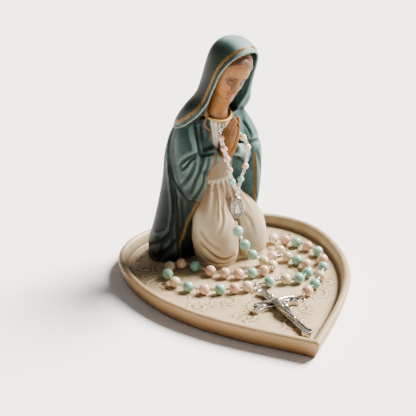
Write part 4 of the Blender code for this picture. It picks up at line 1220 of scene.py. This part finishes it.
NECK = [(-2.3, 0.8, 59.6, 4.8, 4.2), (-2.3, 0.5, 61.4, 5.2, 4.6), (-2.3, 0.1, 62.8, 5.3, 5.1),
        (-2.4, -0.9, 65.6, 4.2, 4.2), (-2.6, -2.6, 69.2, 3.6, 3.8), (-2.7, -5.0, 73.5, 4.1, 4.6),
        (-2.4, -7.0, 78.0, 4.3, 4.8)]
neck = new_object("neck", grid_mesh("neck", on_figure(bent_rows(NECK, 50, 64)), caps=True), SKIN)
with_step(neck, "SMOOTH", factor=0.5, iterations=2)
for piece, nodes in ((head, ["head"]), (neck, [])):
    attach(piece, "statue")
    if nodes:
        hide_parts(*nodes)

# ---------------------------------------------------------------- hair
# Hair parted in the middle and drawn back under the veil, modelled as thick strands, and
# one loose lock that falls in waves to the breast. Auburn paint, darker in the grooves.

AUBURN, shader, place = finish("auburn_hair_paint", Specular_IOR_Level=0.3)
tone = place.noise(330.0, 4.0).over(0.3, 0.7).blend((0.075, 0.030, 0.010), (0.15, 0.068, 0.026))
tone = place.read("hollow").over(-0.1, 0.6).blend(tone, (0.02, 0.007, 0.004))
wear(shader, place, Base_Color=tone, Roughness=0.38 + 0.2 * place.noise(1900.0),
     relief=(place.noise(2400.0, 4.0), 0.25, 0.0001))

STRAND_THICK = 0.56
LOCK_THICK = 0.42
lines = []
for side in (-1.0, 1.0):
    for i in range(9):
        back = 0.8 * i
        path = np.array([
            (0.05 * side, -6.6 + 0.8 * back, 6.1 + 0.30 * back),
            (2.1 * side, -6.5 + 0.8 * back, 6.0 + 0.28 * back),
            (4.6 * side, -4.9 + 0.75 * back, 4.6 + 0.28 * back),
            (6.3 * side, -2.7 + 0.62 * back, 1.8 + 0.25 * back),
            (6.9 * side, -1.0 + 0.5 * back, -1.9 + 0.2 * back), (6.8 * side, 0.2 + 0.4 * back, -6.2),
            (5.9 * side, 1.0 + 0.3 * back, -10.0), (4.6 * side, 2.0 + 0.2 * back, -13.0)])
        shell = np.sqrt((path[:5, 0] / 7.25) ** 2 + (path[:5, 1] / 8.6) ** 2 + (path[:5, 2] / 9.1) ** 2)
        path[:5] /= shell[:, None]
        fine = spline(path, 60)
        fine[:, 2] += 0.30 * np.sin(np.linspace(0.0, 15.0, 60) + i * 0.9)
        fine *= 1.0 + 0.0012 * (i % 2)
        lines.append(on_head(fine))
strands = thread("hair_strands", lines, STRAND_THICK, AUBURN, 10,
                 lambda t: 0.75 + 0.5 * np.sin(np.pi * np.clip(t * 1.3, 0, 1)))
cap = new_object("hair_shape", strands)
with_step(cap, "REMESH", mode="VOXEL", voxel_size=0.2 * MM)
with_step(cap, "SMOOTH", factor=0.5, iterations=2)
cap.name = "parted_hair"
cap.data.shade_smooth()
repaint(cap, AUBURN)
carry(cap, "hollow", hollowness(cap.data, (2, 6, 12), 0.2))

LOCK = [(-8.6, -6.9, 78.6), (-9.2, -6.0, 76.6), (-9.7, -4.9, 73.2), (-10.0, -3.8, 69.8),
        (-9.9, -3.3, 67.2), (-9.1, -3.4, 65.2), (-10.2, -3.1, 62.6), (-9.4, -3.5, 60.6),
        (-8.1, -4.0, 59.3), (-8.4, -4.2, 57.4), (-8.9, -3.9, 55.6)]
base = spline(LOCK, 90)
t = np.linspace(0.0, 1.0, 90)
locks = []
for k in range(4):
    turn = 2.0 * math.pi * (k / 4.0 + 2.2 * t)
    wide = 0.50 * (1.0 - 0.7 * t)
    curl = np.stack([wide * np.cos(turn), 0.6 * wide * np.sin(turn), 0.0 * t], axis=1)
    locks.append(on_figure(base + curl))
lock = new_object("loose_lock", thread("loose_lock", locks, LOCK_THICK, AUBURN, 10,
                                       lambda t: 1.1 - 0.75 * t ** 1.6))
lock.data.shade_smooth()
for piece, node in ((cap, "hair"), (lock, "hair_lock")):
    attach(piece, "statue")
    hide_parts(node)

# ---------------------------------------------------------------- praying hands
# Two hands pressed palm to palm, fingers straight, thumbs crossed towards the breast.
# Cast with the sleeves and painted in the same skin tones.

PALMS = -2.8
HAND_UP = np.array([0.0, -0.371, 0.928])
HAND_IN = np.array([0.0, 0.928, 0.371])


def rounded(stations, count=26, steps=20):
    """A limb whose two ends are domes."""
    fine = spline(stations, count)
    centres = fine[:, :3]
    run = np.concatenate([[0.0], np.cumsum(np.linalg.norm(np.diff(centres, axis=0), axis=1))])
    low = np.clip(1.0 - run / fine[0, 3], 0.0, 1.0)
    high = np.clip(1.0 - (run[-1] - run) / fine[-1, 3], 0.0, 1.0)
    domes = [np.sqrt(1.0 - np.minimum(end, 0.995) ** 2) for end in (low, high)]
    fine[:, 3:] *= (domes[0] * domes[1])[:, None]
    return bent_rows(fine, count, steps)


def in_hand(side, rows):
    """Points (along, towards the thumb, away from the palm) of one hand."""
    root = np.array([PALMS, -7.0, 51.0])
    return [tuple(root + s * HAND_UP + w * HAND_IN + np.array([side * out, 0.0, 0.0])) + (a, b)
            for s, w, out, a, b in rows]


def hand(name, side, node):
    """Palm, four fingers and thumb melted into one skin; side is -1 for the right hand."""
    rows = [
        [(-3.4, 0.6, 2.6, 1.9, 2.0), (0.0, 0.2, 1.7, 1.6, 2.4), (4.0, 0.1, 1.25, 1.35, 3.1),
         (8.4, 0.1, 1.05, 1.1, 2.9), (9.8, 0.1, 0.95, 0.9, 2.3)],
        [(7.5, 2.1, 1.0, 0.95, 0.95), (11.0, 1.75, 0.86, 0.82, 0.82), (14.6, 1.15, 0.74, 0.62, 0.62)],
        [(7.5, 0.75, 1.05, 1.0, 1.0), (11.5, 0.6, 0.9, 0.86, 0.86), (16.0, 0.35, 0.74, 0.64, 0.64)],
        [(7.5, -0.7, 1.05, 0.98, 0.98), (11.2, -0.6, 0.88, 0.84, 0.84),
          (15.4, -0.55, 0.74, 0.62, 0.62)],
        [(6.5, -2.1, 1.0, 0.9, 0.9), (9.8, -1.85, 0.84, 0.74, 0.74), (13.2, -1.55, 0.70, 0.54, 0.54)],
        [(1.5, 1.8, 1.3, 1.2, 1.2), (5.0, 3.2, 0.9, 0.95, 0.95), (8.6, 3.3, 0.35, 0.72, 0.72)],
    ]
    bodies = [solid("finger", rounded(in_hand(side, row))) for row in rows]
    made = fused(name, bodies, voxel=0.2, smooth=3)
    repaint(made, SKIN)
    carry(made, "hollow", hollowness(made.data, (3, 8, 16), 0.2))
    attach(made, "statue")
    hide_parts(node)


hand("right_hand", -1.0, "hand_right")
hand("left_hand", 1.0, "hand_left")

# ---------------------------------------------------------------- medal and rings
# A pointed oval medal, struck on both sides with a robed figure in rays inside a double
# border. Round wire rings join it to the loop above and end the strand below.


turn = np.linspace(0.0, 2.0 * math.pi, 140, endpoint=False)
oval = np.stack([2.6 * np.sign(np.cos(turn)) * np.abs(np.cos(turn)) ** 1.25, 4.4 * np.sin(turn)], axis=1)


def medal_side(face):
    """One struck face: two raised borders, rays, and the robed figure with its head."""
    rows = []
    for s in np.linspace(0.02, 0.97, 56):
        x, z = (oval * s).T
        lift = 0.20 * math.exp(-((s - 0.93) / 0.04) ** 2) + 0.14 * math.exp(-((s - 0.79) / 0.035) ** 2)
        lift = lift - 0.10 * (s < 0.76) + 0.05 * np.cos(18.0 * turn) * (0.42 < s < 0.74)
        robe_width = np.interp(z, [-2.6, -2.2, 0.4, 1.1, 1.25], [0.0, 1.0, 0.55, 0.42, 0.0])
        robe_shape = np.clip(1.0 - (x / np.maximum(robe_width, 0.05)) ** 2, 0.0, 1.0) * (robe_width > 0.05)
        lift = np.maximum(lift, 0.30 * robe_shape ** 0.6 - 0.1 + 0.04 * np.cos(x * 14.0) * robe_shape)
        lift = np.maximum(lift, 0.36 * np.exp(-(x ** 2 + (z - 1.6) ** 2) / 0.16) - 0.1)
        rows.append(np.stack([x, face * (0.30 + lift), z], axis=1))
    return rows


rim = [np.stack([oval[:, 0], 0 * turn + d, oval[:, 1]], axis=1) for d in (-0.2, 0.0, 0.2)]
rows = medal_side(-1.0) + rim + medal_side(1.0)[::-1]
medal_frame = (Matrix.Translation(FIGURE @ Vector((-1.5, -12.0, 29.2)))
               @ Matrix.Rotation(math.radians(-18.0), 4, "Z"))
rows = np.array(rows) @ np.array(medal_frame.to_3x3()).T + np.array(medal_frame.translation)
medal = new_object("oval_medal", outward(grid_mesh("oval_medal", rows, caps=True)), SILVER)
carry(medal, "hollow", np.clip(hollowness(medal.data, (2, 5, 10), 0.05) + 0.22, -1.0, 1.0))


def wire_ring(name, node, axis, major, minor, body):
    """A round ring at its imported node's place, turned about the axis."""
    mesh = ring_mesh(name, major, minor, steps=48, sides=14)
    turn = Vector((0, 1, 0)).rotation_difference(Vector(axis)).to_matrix().to_4x4()
    mesh.transform(Matrix.Translation(middle(node) * MM) @ turn)
    made = new_object(name, outward(mesh), SILVER)
    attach(made, body)
    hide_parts(node)


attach(medal, "rosary")
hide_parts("medal")
wire_ring("connector_ring", "loop_connector", FIGURE.to_3x3() @ Vector((0, 1, 0)), 0.85, 0.25, "rosary")
wire_ring("end_ring", "strand_end_ring", (0, 0, 1), 0.95, 0.25, "rosary")
wire_ring("crucifix_link_ring", "crucifix_ring", (1, 0, 0), 1.35, 0.21, "crucifix_link")

# ---------------------------------------------------------------- crucifix
# A cast cross with lobed ends and a sunk field, an eye at its top for the link, and the
# figure cast apart and riveted on. Both are silver plated and wiped like the medal.

CROSS = Matrix.Translation((0.6, -19.4, 4.1)) @ Matrix.Rotation(math.radians(3.0), 4, "Z")
HALF_THICK = 0.85


def on_cross(points):
    points = np.asarray(points, dtype=float)
    return points @ np.array(CROSS.to_3x3()).T + np.array(CROSS.translation)


def arm_outline(length, width):
    """One side of an arm, from the crossing to the middle of its lobed tip."""
    from_tip = ((4.2, 0.92), (2.9, 1.12), (2.2, 1.52), (1.4, 1.62), (0.9, 1.28), (0.55, 0.86), (0.1, 0.62))
    return spline([(width, width), (length * 0.45, width * 0.88)]
                  + [(length - back, width * share) for back, share in from_tip] + [(length, 0.02)], 40)


# Each arm: its way, length, half width and the shift of its middle line.
ARMS = (((0, 1), 12.5, 1.35, 0.3), ((-1, 0), 9.8, 1.25, 0.0),
        ((0, -1), 24.0, 1.35, 0.3), ((1, 0), 9.8, 1.25, 0.0))
outline = []
for (dx, dy), length, width, aside in ARMS:
    one = arm_outline(length, width)
    along, across = np.array([dx, dy]), np.array([dy, -dx])
    offset = np.array([aside if dy else 0.0, 0.0])
    first = one[:, :1] * along + one[:, 1:] * across + offset
    second = one[::-1, :1] * along - one[::-1, 1:] * across + offset
    outline.append(np.vstack([first, second]))
outline = np.vstack(outline)[::-1]
build = bmesh.new()
ring = [build.verts.new((*p, -HALF_THICK)) for p in outline]
base_face = build.faces.new(ring)
top = bmesh.ops.extrude_face_region(build, geom=[base_face])
moved = [g for g in top["geom"] if isinstance(g, bmesh.types.BMVert)]
bmesh.ops.translate(build, verts=moved, vec=(0, 0, 2 * HALF_THICK))
bmesh.ops.recalc_face_normals(build, faces=build.faces)
cross_mesh = bpy.data.meshes.new("cross_blank")
build.to_mesh(cross_mesh)
build.free()
cross_mesh.transform(Matrix.Scale(MM, 4) @ CROSS)
blank = new_object("cross_blank", cross_mesh)
EYE_PLACE = Vector((-0.3, -5.9, 4.35))
eye = new_object("cross_eye", ring_mesh("cross_eye", 1.27, 0.27, steps=40, sides=14))
eye.data.transform(Matrix.Translation(EYE_PLACE * MM) @ Matrix.Rotation(math.radians(90.0), 4, "X"))
cross = fused("lobed_cross", [blank, eye], voxel=0.15, smooth=3)
repaint(cross, SILVER)
coords = points_of(cross.data) / MM
own = (coords - np.array(CROSS.translation)) @ np.array(CROSS.to_3x3())
inside = near_line(own[:, :2], even(outline, 900))
top = (own[:, 2] > 0.2) & (own[:, 1] < 12.6)
sunk = 0.24 * ramp(inside, 0.42, 0.22) * top
coords[:, 2] -= sunk
put_points(cross.data, coords * MM)
stained = hollowness(cross.data, (2, 5, 9), 0.10) + 0.18 * (sunk > 0.12)
carry(cross, "hollow", np.clip(stained, -1.0, 1.0))

# The figure on the cross, limb by limb: x, y, height over the field, half width, half
# depth. Head, crown of hair, trunk, both arms, loincloth and both legs.
FIELD = HALF_THICK + 0.1
FIGURE_LIMBS = [
    [(0.1, 3.2, 1.25, 1.05, 1.0), (0.25, 2.5, 1.35, 0.95, 0.95)],
    [(-0.2, 3.9, 1.15, 0.75, 0.6), (0.2, 4.2, 1.2, 0.8, 0.6), (0.9, 3.4, 1.0, 0.6, 0.5)],
    [(0.15, 2.0, 0.75, 0.6, 0.6), (0.0, 0.9, 0.8, 1.55, 0.85), (0.0, -0.8, 0.85, 1.3, 0.85),
     (0.05, -2.6, 0.75, 1.0, 0.75), (0.1, -4.2, 0.8, 1.25, 0.9)],
    [(-1.2, 0.9, 0.8, 0.62, 0.55), (-3.6, 1.5, 0.75, 0.55, 0.5), (-6.2, 1.6, 0.6, 0.45, 0.42),
      (-8.3, 1.4, 0.4, 0.5, 0.35)],
    [(1.2, 0.9, 0.8, 0.62, 0.55), (3.6, 1.3, 0.75, 0.55, 0.5), (6.2, 1.2, 0.6, 0.45, 0.42),
      (8.3, 0.9, 0.4, 0.5, 0.35)],
    [(-1.2, -3.6, 0.9, 0.8, 0.7), (0.1, -4.6, 1.1, 1.35, 0.9), (1.5, -4.4, 0.9, 0.8, 0.8),
      (1.9, -5.6, 0.5, 0.5, 0.5)],
    [(-0.55, -4.2, 0.9, 0.8, 0.8), (-0.75, -7.0, 1.15, 0.72, 0.72), (-0.35, -9.4, 1.0, 0.6, 0.62),
     (0.0, -12.4, 0.5, 0.42, 0.45), (0.05, -14.2, 0.45, 0.42, 0.3)],
    [(0.65, -4.2, 0.9, 0.8, 0.8), (0.75, -7.2, 1.25, 0.7, 0.72), (0.5, -9.6, 1.05, 0.58, 0.6),
     (0.25, -12.2, 0.7, 0.42, 0.45), (0.1, -14.0, 0.75, 0.45, 0.35)],
]
bodies = []
for row in FIGURE_LIMBS:
    row = [(x, y, FIELD + h - 0.15, a * 1.15 + 0.05, b * 1.15) for x, y, h, a, b in row]
    mesh = outward(grid_mesh("limb", on_cross(rounded(row, 22, 18)), caps=True))
    bodies.append(new_object("limb", mesh))
corpus = fused("cross_figure", bodies, voxel=0.13, smooth=2)
repaint(corpus, SILVER)
carry(corpus, "hollow", hollowness(corpus.data, (3, 8, 14), 0.16))
for piece, node in ((cross, "cross"), (corpus, "corpus")):
    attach(piece, "crucifix")
    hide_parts(node)

# ---------------------------------------------------------------- floor and lights
# Not part of the statue: a wide matt floor, a broad sun from the statue's left for the
# soft shadow, a weak round fill lamp in front and a little light from all round.


def lamp(name, place, aim, size, power, color):
    data = bpy.data.lights.new(name, "AREA")
    data.shape = "DISK"
    data.size = size
    data.energy = power
    data.color = color
    made = bpy.data.objects.new(name, data)
    made.location = place
    made.rotation_euler = (Vector(place) - Vector(aim)).to_track_quat("Z", "Y").to_euler()
    bpy.context.scene.collection.objects.link(made)


lamp("soft_fill", (-0.50, -0.55, 0.42), (0.0, 0.0, 0.03), 0.5, 0.35, (1.0, 0.97, 0.93))
sun = bpy.data.lights.new("key", "SUN")
sun.energy = 22.0
sun.angle = math.radians(30.0)
sun.color = (1.0, 0.95, 0.87)
key = bpy.data.objects.new("key", sun)
key.rotation_euler = Vector((0.80, 0.12, 0.78)).to_track_quat("Z", "Y").to_euler()
bpy.context.scene.collection.objects.link(key)
world = bpy.data.worlds.new("studio")
world.use_nodes = True
sky = world.node_tree.nodes["Background"].inputs
sky["Color"].default_value = (1.0, 1.0, 1.0, 1.0)
sky["Strength"].default_value = 0.16
bpy.context.scene.world = world

bpy.ops.mesh.primitive_plane_add(size=40.0)
floor = bpy.context.object
floor.name = "floor"
paper = bpy.data.materials.new("pale_floor")
paper.use_nodes = True
matt = paper.node_tree.nodes["Principled BSDF"].inputs
matt["Base Color"].default_value = (0.93, 0.93, 0.93, 1.0)
matt["Roughness"].default_value = 0.9
floor.data.materials.append(paper)
